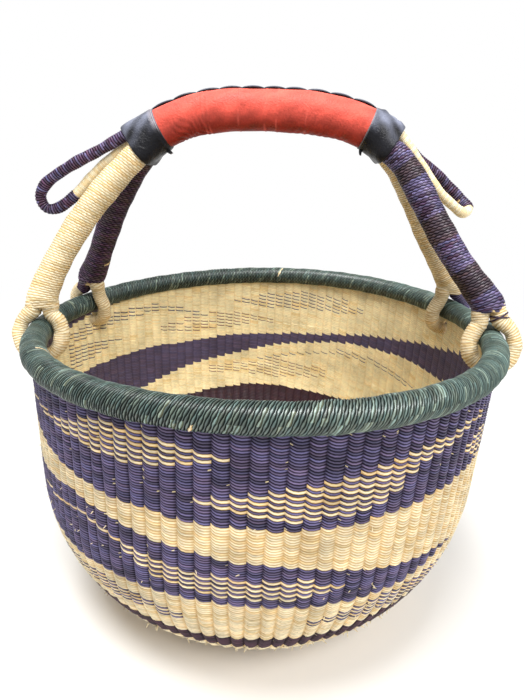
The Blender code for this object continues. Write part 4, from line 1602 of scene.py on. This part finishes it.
@dataclass
class GripLeather(Sleeve):
    """The red leather sewn round the grip, creased where the grip bends and ringed with faint folds."""

    wall: float = 0.0014
    creases: tuple[float, float, float] = (0.005, 0.042, 0.0104)
    folds: tuple[float, ...] = (0.0360, 0.0393, 0.0634, 0.0840, 0.0930, 0.1160)

    @property
    def ends(self) -> tuple[float, float]:
        """Places along the handle of the leather's two ends."""
        shape = self.shape
        return shape.collar_left - shape.reach_left, shape.reach_right - shape.collar_right

    def stations(self) -> Rows:
        """Rings at even steps."""
        return np.linspace(*self.ends, self.steps + 1)

    def radius(self, along: Rows, turn: Rows) -> Rows:
        """The grip's radius with its creases, folds and slow unevenness."""
        run = along - self.ends[0]
        start, end, pitch = self.creases
        lower = window(turn, math.radians(165), math.radians(330), math.radians(55))
        slant = (turn - math.pi) * self.shape.grip_radius * 0.55
        ripple = np.sin(2 * np.pi * (run - slant) / pitch + 1.3 * np.sin(run * 260 + turn * 3))
        crease = -ripple ** 2 * lower * window(run, start, end, 0.008) * 0.00065
        shallow = window(run, 0.095, 0.162, 0.02) * lower * 0.00016
        crease = crease + np.sin(2 * np.pi * (run + slant) / 0.0061) * shallow
        fine = window(run, 0.018, 0.036, 0.006) * window(turn, math.radians(125), math.radians(185), 0.4)
        crease = crease + np.sin(run * 5200 + turn * 21) * np.sin(turn * 34 - run * 1900) * fine * 0.00009
        fold = sum(bump_at(run + 0.0006 * np.sin(turn * 2 + at), at, 0.0007) for at in self.folds) * 0.00028
        slow = 0.00022 * np.sin(run * 95 + turn * 2) + 0.00016 * np.sin(run * 210 - turn * 3 + 1.0)
        seam = bump_at(turn, math.radians(78), 0.16) * 0.0005
        return self.shape.grip_radius - 0.0002 + crease + fold + slow + seam

    def dye(self, along: Rows, turn: Rows) -> Rows:
        """A painted highlight in salmon over the top, painted shade in deep red underneath and in the creases, paler
        wear on each fold, and a patchy mottle.
        """
        run = along - self.ends[0]
        # Painted shade turns the underside deep red, and a painted highlight turns the top salmon
        low = np.clip((-np.sin(turn) - 0.05) / 0.75, 0, 1)
        high = np.clip((np.sin(turn) - 0.15) / 0.85, 0, 1)
        colours = mixed_hide(Hide.RED, Hide.DEEP_RED_SHADE, low * 0.9)
        colours = colours + (linear(Hide.SALMON_HIGHLIGHT_AND_WEAR.value) - colours) * (high * 0.75)[:, None]
        fold = sum(bump_at(run + 0.0006 * np.sin(turn * 2 + at), at, 0.0007) for at in self.folds)
        patchy = 0.5 + 0.5 * np.sin(turn * 5 + run * 140)
        pale = np.clip(fold * patchy, 0, 1)[:, None] * 0.7
        colours = colours + (linear(Hide.SALMON_HIGHLIGHT_AND_WEAR.value) - colours) * pale
        start, end, pitch = self.creases
        slant = (turn - math.pi) * self.shape.grip_radius * 0.55
        ripple = np.sin(2 * np.pi * (run - slant) / pitch + 1.3 * np.sin(run * 260 + turn * 3))
        lower = window(turn, math.radians(165), math.radians(330), math.radians(55))
        # Painted shade in the creases underneath; worn and fine are a random mottle
        crease = np.abs(ripple) ** 2 * lower * window(run, start, end, 0.008)
        worn = np.sin(turn * 3 + run * 75) * np.sin(turn * 2 - run * 120 + 2) + 0.6 * np.sin(turn * 9 + run * 330)
        fine = np.sin(turn * 23 + run * 900) * np.sin(turn * 13 - run * 1300 + 1.0)
        return colours * (1 - 0.24 * crease + 0.11 * worn + 0.06 * fine)[:, None]

    def build(self) -> None:
        """Makes the cover of the grip."""
        self.roll("grip_cover", "grip_leather", "red_leather")


@dataclass
class Collar(Sleeve):
    """A black leather band over an end of the grip, drawn tight round everything that leaves it."""

    title: str = "left"
    side: int = -1
    strands: tuple[tuple[float, float], tuple[float, float]] = ((0.0, 0.0), (0.0, 0.0))
    wall: float = 0.0011
    overlap: float = 0.0014
    leg_radius: float = 0.0096
    ear_radius: float = 0.0047
    margin: float = 0.0021
    layer_rows: tuple[float, ...] = (0.0, 0.12, 0.6, 0.9, 1.05, 1.6, 1.9, 2.05, 4.5)
    layer_rises: tuple[float, ...] = (0.15, 0.35, 0.38, 0.4, 0.8, 0.83, 0.85, 1.2, 1.0)
    pale_edges: tuple[tuple[int, float, float], ...] = ((0, 230, 0.35), (3, 200, 0.9), (6, 188, 0.7))
    pucker: float = 0.0

    @property
    def mouth(self) -> float:
        """Place along the handle of the collar's mouth."""
        return self.side * self.shape.side(self.side)[0]

    @property
    def edge(self) -> float:
        """Place along the handle of the collar's edge on the red leather."""
        return self.mouth - self.side * (self.shape.side(self.side)[2] + self.overlap)

    def stations(self) -> Rows:
        """Rings that are close together at the layers' cut edges and at the rolled lip."""
        length = abs(self.mouth - self.edge)
        near = [row * MM for row in self.layer_rows]
        middle = list(np.linspace(near[-1] + 0.9 * MM, length - 1.6 * MM, 15))
        lip = [length - rest * MM for rest in (1.0, 0.5, 0.2, 0.0)]
        return self.edge + self.side * np.array(near + middle + lip)

    def drawn_outline(self, turn: Rows) -> Rows:
        """Reach of a band drawn tight round the legs and strands at the mouth, by angle.

        Args:
            turn: Angles from the back upwards.

        Returns:
            Distance from the axis to the band's outer side at each angle.
        """
        spots = [(side * self.shape.leg_spread, -self.shape.leg_sag, self.leg_radius) for side in (-1, 1)]
        spots += [(across, over, self.ear_radius) for across, over in self.strands]
        points = []
        for across, over, radius in spots:
            for step in range(48):
                angle = 2 * math.pi * step / 48
                grown = radius + self.margin
                points.append(Vector((across + math.cos(angle) * grown, over + math.sin(angle) * grown)))
        hull = [points[at] for at in convex_hull_2d(points)]
        angles = np.array([math.atan2(point.y, point.x) % (2 * math.pi) for point in hull])
        order = np.argsort(angles)
        corners = np.array([tuple(hull[at]) for at in order])
        angles = angles[order]
        after = np.searchsorted(angles, np.mod(turn, 2 * np.pi)) % len(angles)
        here, there = corners[after - 1], corners[after]
        edge = there - here
        cross = here[:, 0] * edge[:, 1] - here[:, 1] * edge[:, 0]
        return cross / (np.cos(turn) * edge[:, 1] - np.sin(turn) * edge[:, 0])

    def radius(self, along: Rows, turn: Rows) -> Rows:
        """Distance of the band from the axis: layered at the red leather, then drawn in to the mouth."""
        run = np.abs(along - self.edge)
        length = abs(self.mouth - self.edge)
        part = np.clip((run - self.overlap) / (length - self.overlap), 0, 1)
        part = part * part * (3 - 2 * part)
        base = self.shape.grip_radius + (self.drawn_outline(turn) - self.shape.grip_radius) * part
        rise = np.interp(run / MM, self.layer_rows, self.layer_rises) * MM * np.clip(1 - part, 0, 1)
        lip = np.clip((run - length + 1.0 * MM) / MM, 0, 1) ** 2 * 0.0006
        slow = 0.00018 * np.sin(turn * 4 + run * 240) + 0.0001 * np.sin(turn * 9 - run * 500)
        top = bump_at(turn, math.radians(104), 0.42) * window(run, 0.002, length, 0.004)
        folds = np.sin(turn * 17 + run * 330) * 0.5 + np.sin(turn * 9 - run * 620 + 1.0) * 0.5
        return base + rise - lip + slow + self.pucker * top * (0.6 + 0.6 * folds)

    def dye(self, along: Rows, turn: Rows) -> Rows:
        """Black, patchily greyer with wear, with a painted sheen that makes the top much lighter, and pale cut edges at
        the layers.
        """
        run = np.abs(along - self.edge)
        worn = 0.5 + 0.3 * np.sin(turn * 3 + run * 160) + 0.25 * np.sin(turn * 7 - run * 420)
        # Patchy wear lightens it all round, and a painted sheen lightens the top far more
        colours = mixed_hide(Hide.BLACK, Hide.SHEEN_AND_WEAR_BLACK, worn * np.clip(0.2 + 1.3 * np.sin(turn), 0.0, 1))
        cut = np.zeros(len(run))
        for row, reach, strength in self.pale_edges:
            seen = window(turn, math.radians(20), math.radians(reach), math.radians(30))
            cut = np.maximum(cut, bump_at(run, self.layer_rows[row] * MM, 0.00016) * seen * strength)
        cut = np.maximum(cut, bump_at(turn, math.radians(96), 0.03) * window(run, 0.001, 0.006, 0.001) * 0.7)
        return colours + (linear(Hide.CUT_EDGE.value) - colours) * np.clip(cut, 0, 1)[:, None]

    def build(self) -> None:
        """Makes the collar."""
        self.roll("collar_band_" + self.title, "collar_" + self.title, "black_leather")


@dataclass
class Lacing:
    """Black leather lace sewn over the seam on top of the grip, in slanting stitches."""

    shape: "HandleShape"
    cover: GripLeather
    finish: LeatherFinish
    stitches: int = 10
    steps: int = 14
    sides: int = 12
    half_width: float = 0.0037
    half_depth: float = 0.0012
    turn: float = math.radians(83)
    slant: float = math.radians(14)
    lap_share: float = 0.16
    lift: float = 0.0014

    def build(self) -> None:
        """Makes all stitches as one piece."""
        start, end = self.cover.ends
        pitch = (end - start) / self.stitches
        body = bmesh.new()
        tint = body.verts.layers.float_color.new("dye")
        for number in range(self.stitches):
            done = len(body.verts)
            bmesh.ops.create_cone(body, cap_ends=True, segments=self.sides, radius1=1.0, radius2=1.0, depth=1.0)
            body.verts.ensure_lookup_table()
            body.edges.index_update()
            joined = {edge for vertex in body.verts[done:] for edge in vertex.link_edges}
            runs = sorted((edge for edge in joined if edge.verts[0].co.z * edge.verts[1].co.z < 0), key=edge_index)
            bmesh.ops.subdivide_edges(body, edges=runs, cuts=self.steps - 1)
            body.verts.ensure_lookup_table()
            for vertex in body.verts[done:]:
                share = vertex.co.z + 0.5
                body_share = math.sin(math.pi * min(max(share, 0.0), 1.0))
                along = start + (number + share * (1 + self.lap_share) - self.lap_share / 2) * pitch
                along = min(max(along, start - 0.0005), end + 0.0005)
                centre, _, back, up = self.shape.frame(along)
                turn = self.turn - self.slant * (share - 0.5) * (1 + 0.25 * math.sin(number * 2.3))
                outward = back * math.cos(turn) + up * math.sin(turn)
                sideways = up * math.cos(turn) - back * math.sin(turn)
                wide = self.half_width * (0.16 + 0.84 * body_share ** 0.7) * (1 + 0.08 * math.sin(number * 5.1))
                deep = self.half_depth * (0.45 + 0.55 * body_share ** 0.5)
                height = self.shape.grip_radius - 0.0003 + self.lift * body_share ** 0.6
                over = vertex.co.y * deep
                across = vertex.co.x * wide
                sag = across ** 2 / (2 * self.shape.grip_radius)
                # Painted shade towards each stitch's ends; the outer face is lighter, painted sheen together with wear
                shade = 0.25 + 0.75 * body_share ** 0.5
                worn = 0.55 if vertex.co.y > 0.3 else 0.1
                vertex[tint] = (*(mixed_hide(Hide.BLACK, Hide.SHEEN_AND_WEAR_BLACK, np.array([worn]))[0] * shade), 1.0)
                vertex.co = centre + outward * (height + over - sag) + sideways * across
        face_outwards(body)
        mesh = bpy.data.meshes.new("grip_lacing")
        body.to_mesh(mesh)
        body.free()
        piece = show("grip_lacing", mesh, HANDLE)
        mesh.materials.append(self.finish.material())
        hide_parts("grip_lace")
        log.info("grip_lacing: %d stitches", self.stitches)


@dataclass
class StrapTag:
    """The cut end of a collar's strap, which sticks out underneath."""

    collar: Collar
    along: float
    turn: float
    length: float = 0.0046
    width: float = 0.0042
    thickness: float = 0.0016
    cuts: int = 5

    def build(self) -> None:
        """Makes the tag: a small pleated flap that narrows to its end."""
        shape = self.collar.shape
        centre, tangent, back, up = shape.frame(self.along)
        outward = back * math.cos(self.turn) + up * math.sin(self.turn)
        sideways = tangent.cross(outward)
        body = bmesh.new()
        bmesh.ops.create_cube(body, size=1.0)
        bmesh.ops.subdivide_edges(body, edges=body.edges[:], cuts=self.cuts, use_grid_fill=True)
        tint = body.verts.layers.float_color.new("dye")
        root = float(self.collar.radius(np.array([self.along]), np.array([self.turn]))[0]) - 0.0012
        for vertex in body.verts:
            share = vertex.co.z + 0.5
            pleat = 0.0005 * math.sin(vertex.co.x * 14) * share
            narrow = 1 - 0.45 * share
            along = vertex.co.x * self.width * narrow + self.length * 0.35 * share ** 2
            across = vertex.co.y * self.thickness * (1 - 0.3 * share) + pleat
            pale = ease((share - 0.85) / 0.15) * 0.5
            vertex[tint] = (*mixed_hide(Hide.BLACK, Hide.CUT_EDGE, np.array([pale]))[0], 1.0)
            vertex.co = centre + outward * (root + self.length * share) + tangent * along + sideways * across
        bmesh.ops.smooth_vert(body, verts=body.verts, factor=0.5)
        face_outwards(body)
        name = "strap_tag_" + self.collar.title
        mesh = bpy.data.meshes.new(name)
        body.to_mesh(mesh)
        body.free()
        piece = show(name, mesh, HANDLE)
        mesh.materials.append(self.collar.finish.material())
        log.info("%s ready", piece.name)


@dataclass
class Straws:
    """Ends of straw that stick out of the weave, as one piece of thin cones."""

    shape: BowlShape
    count: int = 240
    arcs: tuple[tuple[float, float, float, float, float], ...] = (
        (0.0, 360.0, 184.0, 191.0, 1.0), (0.0, 360.0, 184.0, 191.0, 1.0), (0.0, 360.0, 184.0, 191.0, 1.0),
        (195.0, 345.0, 110.0, 160.0, 0.5), (195.0, 345.0, 60.0, 120.0, 0.5),
    )
    length: float = 0.0042
    thickness: float = 0.0006
    sides: int = 5

    def build(self, finish: StrawFinish) -> None:
        """Makes the straws."""
        meridian = Meridian(self.shape)
        body = bmesh.new()
        for number in range(self.count):
            start, end, top, bottom, size = self.arcs[number % len(self.arcs)]
            chance = [float(hash_noise(np.array(number), np.array(at), 13.0)) for at in range(5)]
            angle = math.radians(blend(start, end, chance[0]))
            down = np.array(blend(top, bottom, chance[1]) * MM)
            radius, height = meridian.read(meridian.line, down)
            normal_out, normal_up = meridian.read(meridian.normals, down)
            outward = Vector((math.cos(angle), math.sin(angle), 0)) * abs(float(normal_out))
            outward.z = -abs(float(normal_up))
            root = Vector(self.shape.settled(np.array((
                float(radius) * math.cos(angle), float(radius) * math.sin(angle), float(height)
            ))))
            sideways = Vector((-math.sin(angle), math.cos(angle), 0)) * (2 * chance[2] - 1) * 1.4
            direction = (outward * (0.35 + 0.5 * chance[3]) + sideways + Vector((0, 0, chance[4] - 0.6))).normalized()
            turn = direction.to_track_quat("Z", "Y").to_matrix().to_4x4()
            long = self.length * size * (0.6 + 0.8 * chance[3])
            thick = self.thickness * (0.4 + 0.6 * size)
            bmesh.ops.create_cone(
                body, cap_ends=True, segments=self.sides, radius1=thick, radius2=thick * 0.45,
                depth=long, matrix=Matrix.Translation(root - outward * 0.0008 + direction * long * 0.3) @ turn,
            )
        face_outwards(body)
        mesh = bpy.data.meshes.new("straw_ends")
        body.to_mesh(mesh)
        body.free()
        show("straw_ends", mesh, BASKET)
        mesh.materials.append(finish.material())
        log.info("straw_ends: %d straws", self.count)


@dataclass
class StartCoil:
    """The coil of bound grass in the middle of the base, where the weaving starts."""

    outer: float = 0.0072
    inner: float = 0.0006
    laps: float = 2.4
    height: float = 0.0029
    half_height: float = 0.0025
    half_width: float = 0.0017
    steps: int = 60

    def build(self, finish: GrassFinish) -> None:
        """Makes the coil."""
        row = []
        for step in range(self.steps + 1):
            part = step / self.steps
            angle = 2 * math.pi * self.laps * part
            radius = blend(self.outer, self.inner, part)
            row.append(Vector((radius * math.cos(angle), radius * math.sin(angle), self.height)))
        flat = Section(((0, self.half_height), (1, self.half_height)), ((0, self.half_width), (1, self.half_width)))
        Winding(
            "start_coil", Rail(row, [Vector((0, 0, 1))] * len(row)), flat, NATURAL_LEG, (), "natural_grass",
            body=BASKET, slant_turns=1, sides=12, ridge=0.0003,
        ).build(finish)


@dataclass
class TieThread:
    """Two dark threads that cross over the outer strand of a foot, just under the leg."""

    leg: Leg
    dye: Dye = Dye.MAROON
    share: float = 0.085
    tilt: float = math.radians(17)
    thickness: float = 0.0007
    steps: int = 40
    sides: int = 8

    def build(self, finish: GrassFinish) -> None:
        """Makes the threads as two closed rings."""
        rail = self.leg.foot_rail()
        section = self.leg.foot_section()
        lengths = np.array(rail.length * self.share)
        centre = Vector(rail.place(lengths, np.array(0.0), np.array(0.0)))
        first = Vector(rail.read(rail.first, lengths)).normalized()
        second = Vector(rail.read(rail.second, lengths)).normalized()
        along = first.cross(second).normalized()
        radius = float(section.widths(np.array(self.share))[0]) + self.thickness * 0.5
        place = Matrix((first, second, along)).transposed().to_4x4()
        body = bmesh.new()
        for side in (-1, 1):
            made = bmesh.ops.create_circle(
                body, segments=self.sides, radius=self.thickness,
                matrix=Matrix.Translation((radius, 0, 0)) @ Matrix.Rotation(math.pi / 2, 4, "X"),
            )
            ring = made["verts"] + list({edge for vertex in made["verts"] for edge in vertex.link_edges})
            bmesh.ops.spin(
                body, geom=ring, cent=(0, 0, 0), axis=(0, 0, 1), angle=2 * math.pi, steps=self.steps, use_merge=True,
            )
            turned = {vertex for vertex in body.verts if not vertex.tag}
            bmesh.ops.transform(
                body, verts=list(turned), matrix=Matrix.Translation(centre) @ place @ Matrix.Rotation(
                    side * self.tilt, 4, "X"),
            )
            for vertex in turned:
                vertex.tag = True
        tint = body.loops.layers.float_color.new("grass")
        for face in body.faces:
            for loop in face.loops:
                loop[tint] = (*(linear(self.dye.value) * 0.35), 0.6)
        body.loops.layers.uv.new("strand")
        face_outwards(body)
        name = "tie_thread_" + self.leg.foot.title
        mesh = bpy.data.meshes.new(name)
        body.to_mesh(mesh)
        body.free()
        show(name, mesh, HANDLE)
        mesh.materials.append(finish.material())
        log.info("%s ready", name)


BROWN_STRETCHES = ((0.16, 0.25, Dye.BROWN), (0.45, 0.58, Dye.BROWN), (0.74, 0.89, Dye.BROWN))
PURPLE_LEG = DyePlan(
    Dye.PURPLE, Dye.MAROON, 0.2, Dye.TAN, 0.006, spread=0.9, piece_steps=7.0, stretches=BROWN_STRETCHES,
)
PURPLE_EAR = DyePlan(Dye.MAROON, Dye.PURPLE, 0.35, Dye.TAN, 0.004, spread=0.9, piece_steps=4.0)
DARK_LEG = DyePlan(Dye.MAROON, Dye.BROWN, 0.4, Dye.TAN, 0.006, spread=0.9, piece_steps=7.0)
NATURAL_LEG = DyePlan(Dye.NATURAL, Dye.TAN, 0.22, spread=0.3, piece_steps=5.0)


@dataclass(frozen=True)
class Studio:
    """Pale floor, soft light, and the camera where the photographer stood."""

    eye: tuple[float, float, float] = (0.0039, -0.4194, 0.3626)
    pitch: float = math.radians(19.73)
    yaw: float = math.radians(-0.39)
    roll: float = math.radians(2.41)
    lens: float = 25.54
    sensor: float = 36.0
    floor_size: float = 12.0
    fade_start: float = 0.45
    fade_end: float = 1.3
    world_light: float = 0.52

    def camera(self) -> None:
        """Makes the camera."""
        data = bpy.data.cameras.new("camera")
        data.lens = self.lens
        data.sensor_fit = "VERTICAL"
        data.sensor_height = self.sensor
        data.clip_start = 0.01
        ahead = Vector((
            math.sin(self.yaw) * math.cos(self.pitch), math.cos(self.yaw) * math.cos(self.pitch),
            -math.sin(self.pitch),
        ))
        right = Vector((math.cos(self.yaw), -math.sin(self.yaw), 0))
        up = right.cross(ahead)
        turned_right = right * math.cos(self.roll) + up * math.sin(self.roll)
        turned_up = up * math.cos(self.roll) - right * math.sin(self.roll)
        camera = bpy.data.objects.new("camera", data)
        camera.matrix_world = Matrix.Translation(Vector(self.eye)) @ Matrix((
            turned_right, turned_up, -ahead
        )).transposed().to_4x4()
        bpy.context.scene.collection.objects.link(camera)
        bpy.context.scene.camera = camera

    def lamp(self, name: str, place: Vector, size: float, power: float) -> None:
        """Adds a soft lamp that faces the basket."""
        data = bpy.data.lights.new(name, "AREA")
        data.shape = "DISK"
        data.size = size
        data.energy = power
        lamp = bpy.data.objects.new(name, data)
        lamp.location = place
        lamp.rotation_euler = (Vector((0, 0, 0.18)) - place).to_track_quat("-Z", "Y").to_euler()
        bpy.context.scene.collection.objects.link(lamp)

    def seen_directly(self, tree: bpy.types.NodeTree) -> bpy.types.NodeSocket:
        """A mask of the rays that show a thing itself: camera, glossy and transmission rays."""
        path = tree.nodes.new("ShaderNodeLightPath")
        total = path.outputs["Is Camera Ray"]
        for name in ("Is Glossy Ray", "Is Transmission Ray"):
            more = tree.nodes.new("ShaderNodeMath")
            more.operation = "MAXIMUM"
            tree.links.new(total, more.inputs[0])
            tree.links.new(path.outputs[name], more.inputs[1])
            total = more.outputs[0]
        return total

    def world(self) -> None:
        """White surroundings, which light the basket softly."""
        world = bpy.data.worlds.new("studio")
        world.use_nodes = True
        bpy.context.scene.world = world
        tree = world.node_tree
        strength = tree.nodes.new("ShaderNodeMapRange")
        socket(strength, "To Min").default_value = self.world_light
        socket(strength, "To Max").default_value = 1.0
        tree.links.new(self.seen_directly(tree), socket(strength, "Value"))
        back = tree.nodes["Background"]
        socket(back, "Color").default_value = (1.0, 1.0, 1.0, 1.0)
        tree.links.new(strength.outputs["Result"], socket(back, "Strength"))

    def floor(self) -> None:
        """Pale floor that keeps the shadow and fades into the white surroundings."""
        body = bmesh.new()
        bmesh.ops.create_grid(body, x_segments=2, y_segments=2, size=self.floor_size / 2)
        mesh = bpy.data.meshes.new("floor")
        body.to_mesh(mesh)
        body.free()
        floor = bpy.data.objects.new("floor", mesh)
        floor.location.z = -0.0004
        bpy.context.scene.collection.objects.link(floor)
        finish = bpy.data.materials.new("pale_floor")
        finish.use_nodes = True
        tree = finish.node_tree
        shader = tree.nodes["Principled BSDF"]
        socket(shader, "Base Color").default_value = (0.80, 0.79, 0.77, 1.0)
        socket(shader, "Roughness").default_value = 0.9
        place = tree.nodes.new("ShaderNodeTexCoord")
        away = tree.nodes.new("ShaderNodeVectorMath")
        away.operation = "LENGTH"
        tree.links.new(place.outputs["Object"], away.inputs[0])
        fade = tree.nodes.new("ShaderNodeMapRange")
        fade.interpolation_type = "SMOOTHSTEP"
        socket(fade, "From Min").default_value = self.fade_start
        socket(fade, "From Max").default_value = self.fade_end
        tree.links.new(away.outputs["Value"], socket(fade, "Value"))
        shown = tree.nodes.new("ShaderNodeMath")
        shown.operation = "MULTIPLY"
        tree.links.new(fade.outputs["Result"], shown.inputs[0])
        tree.links.new(self.seen_directly(tree), shown.inputs[1])
        white = tree.nodes.new("ShaderNodeEmission")
        socket(white, "Color").default_value = (1.0, 1.0, 1.0, 1.0)
        mix = tree.nodes.new("ShaderNodeMixShader")
        tree.links.new(shown.outputs[0], mix.inputs["Fac"])
        tree.links.new(shader.outputs["BSDF"], mix.inputs[1])
        tree.links.new(white.outputs["Emission"], mix.inputs[2])
        tree.links.new(mix.outputs["Shader"], tree.nodes["Material Output"].inputs["Surface"])
        mesh.materials.append(finish)

    def build(self) -> None:
        """Sets up the camera, lamps, surroundings and floor."""
        self.camera()
        self.world()
        self.floor()
        self.lamp("key_lamp", Vector((0.9, -1.3, 1.9)), 1.0, 40.0)
        self.lamp("top_lamp", Vector((-0.35, -0.45, 2.2)), 1.0, 54.0)
        scene = bpy.context.scene
        scene.view_settings.view_transform = "Standard"
        log.info("studio ready")


def main() -> None:
    """Builds the studio and then the basket, piece by piece."""
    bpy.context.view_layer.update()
    shape = BowlShape()
    grass = GrassFinish("twined_grass")
    Studio().build()
    straw = StrawFinish().material()
    for name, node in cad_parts.items():
        if "_core" in name or name == "grip_padding":
            node.data.materials.clear()
            node.data.materials.append(straw)
    TwinedBowl(shape, Pattern()).build(grass)
    wound = GrassFinish("wound_grass", roughness=0.38)
    StartCoil().build(wound)
    Rim(shape).build(GrassFinish("rim_grass", gloss=1.0, roughness=0.34, coat_ior=1.72))
    handle = HandleShape(shape)
    stub = DyePlan(Dye.NATURAL, Dye.TAN, 0.12, spread=0.25, stretches=((0.0, 0.13, Dye.MAROON),))
    half_purple = DyePlan(Dye.NATURAL, Dye.TAN, 0.12, spread=0.3, stretches=((0.0, 0.5, Dye.PURPLE),))
    Leg(handle, Foot.FRONT_LEFT, -1, -1, NATURAL_LEG, NATURAL_LEG, "natural_grass", skirt=0.0045).build(wound)
    Leg(handle, Foot.BACK_LEFT, -1, 1, DARK_LEG, stub, "purple_grass").build(wound)
    front_right = Leg(handle, Foot.FRONT_RIGHT, 1, 1, PURPLE_LEG, NATURAL_LEG, "purple_grass", slant_turns=-6)
    front_right.build(wound)
    TieThread(front_right).build(wound)
    Straws(shape).build(StrawFinish("pale_straw", (0.95, 0.88, 0.72)))
    Leg(handle, Foot.BACK_RIGHT, 1, -1, NATURAL_LEG, half_purple, "natural_grass", skirt=0.003).build(wound)
    red = LeatherFinish("red_goatskin", clouds=1.3, rough_low=0.40, rough_high=0.62, bump=1.0, gloss=0.2)
    black = LeatherFinish("black_goatskin", clouds=1.6, rough_low=0.26, rough_high=0.5, bump=1.0, gloss=0.2)
    cover = GripLeather(handle, red, steps=220, sides=84)
    cover.build()
    Lacing(handle, cover, black).build()
    left_collar = Collar(handle, black, title="left", side=-1, strands=((-0.0034, 0.0118), (0.0024, 0.0052)))
    right_collar = Collar(
        handle, black, title="right", side=1, strands=((-0.0046, 0.0079), (0.0047, 0.0079)), pucker=0.0011,
        layer_rows=(0.0, 0.12, 1.3, 2.0, 3.0, 4.0, 4.5), layer_rises=(0.15, 0.5, 0.6, 0.65, 0.7, 0.75, 0.75),
        pale_edges=((0, 262, 0.7),),
    )
    left_collar.build()
    right_collar.build()
    StrapTag(left_collar, left_collar.edge - 0.004, math.radians(262)).build()
    StrapTag(right_collar, right_collar.edge + 0.003, math.radians(265), width=0.0032).build()
    EarLoop(
        handle, "left", -1, ((-0.0034, 0.0118), (0.0024, 0.0052)), (1.0855, 0.3755), 0.006,
        (
            (0.36, 0.07, -0.5), (0.57, 0.24, -0.5), (0.78, 0.44, -0.5), (0.93, 0.62, -0.4), (1.0, 0.82, -0.2),
            (0.955, 1.0, 0.0), (0.83, 0.98, 0.2), (0.65, 0.76, 0.4), (0.48, 0.47, 0.5), (0.33, 0.25, 0.5),
        ),
        7, True,
    ).build(wound)
    EarLoop(
        handle, "right", 1, ((-0.0046, 0.0079), (0.0047, 0.0079)), (0.765, 0.3383), 0.014,
        (
            (0.33, 0.27, -0.3), (0.56, 0.65, -0.3), (0.79, 0.90, -0.2), (0.93, 1.0, 0.1), (1.0, 0.93, 0.5),
            (0.92, 0.80, 0.9), (0.76, 0.60, 1.0), (0.58, 0.41, 0.85), (0.38, 0.24, 0.6),
        ),
        4, False,
    ).build(wound)


if __name__ == "__main__":
    main()
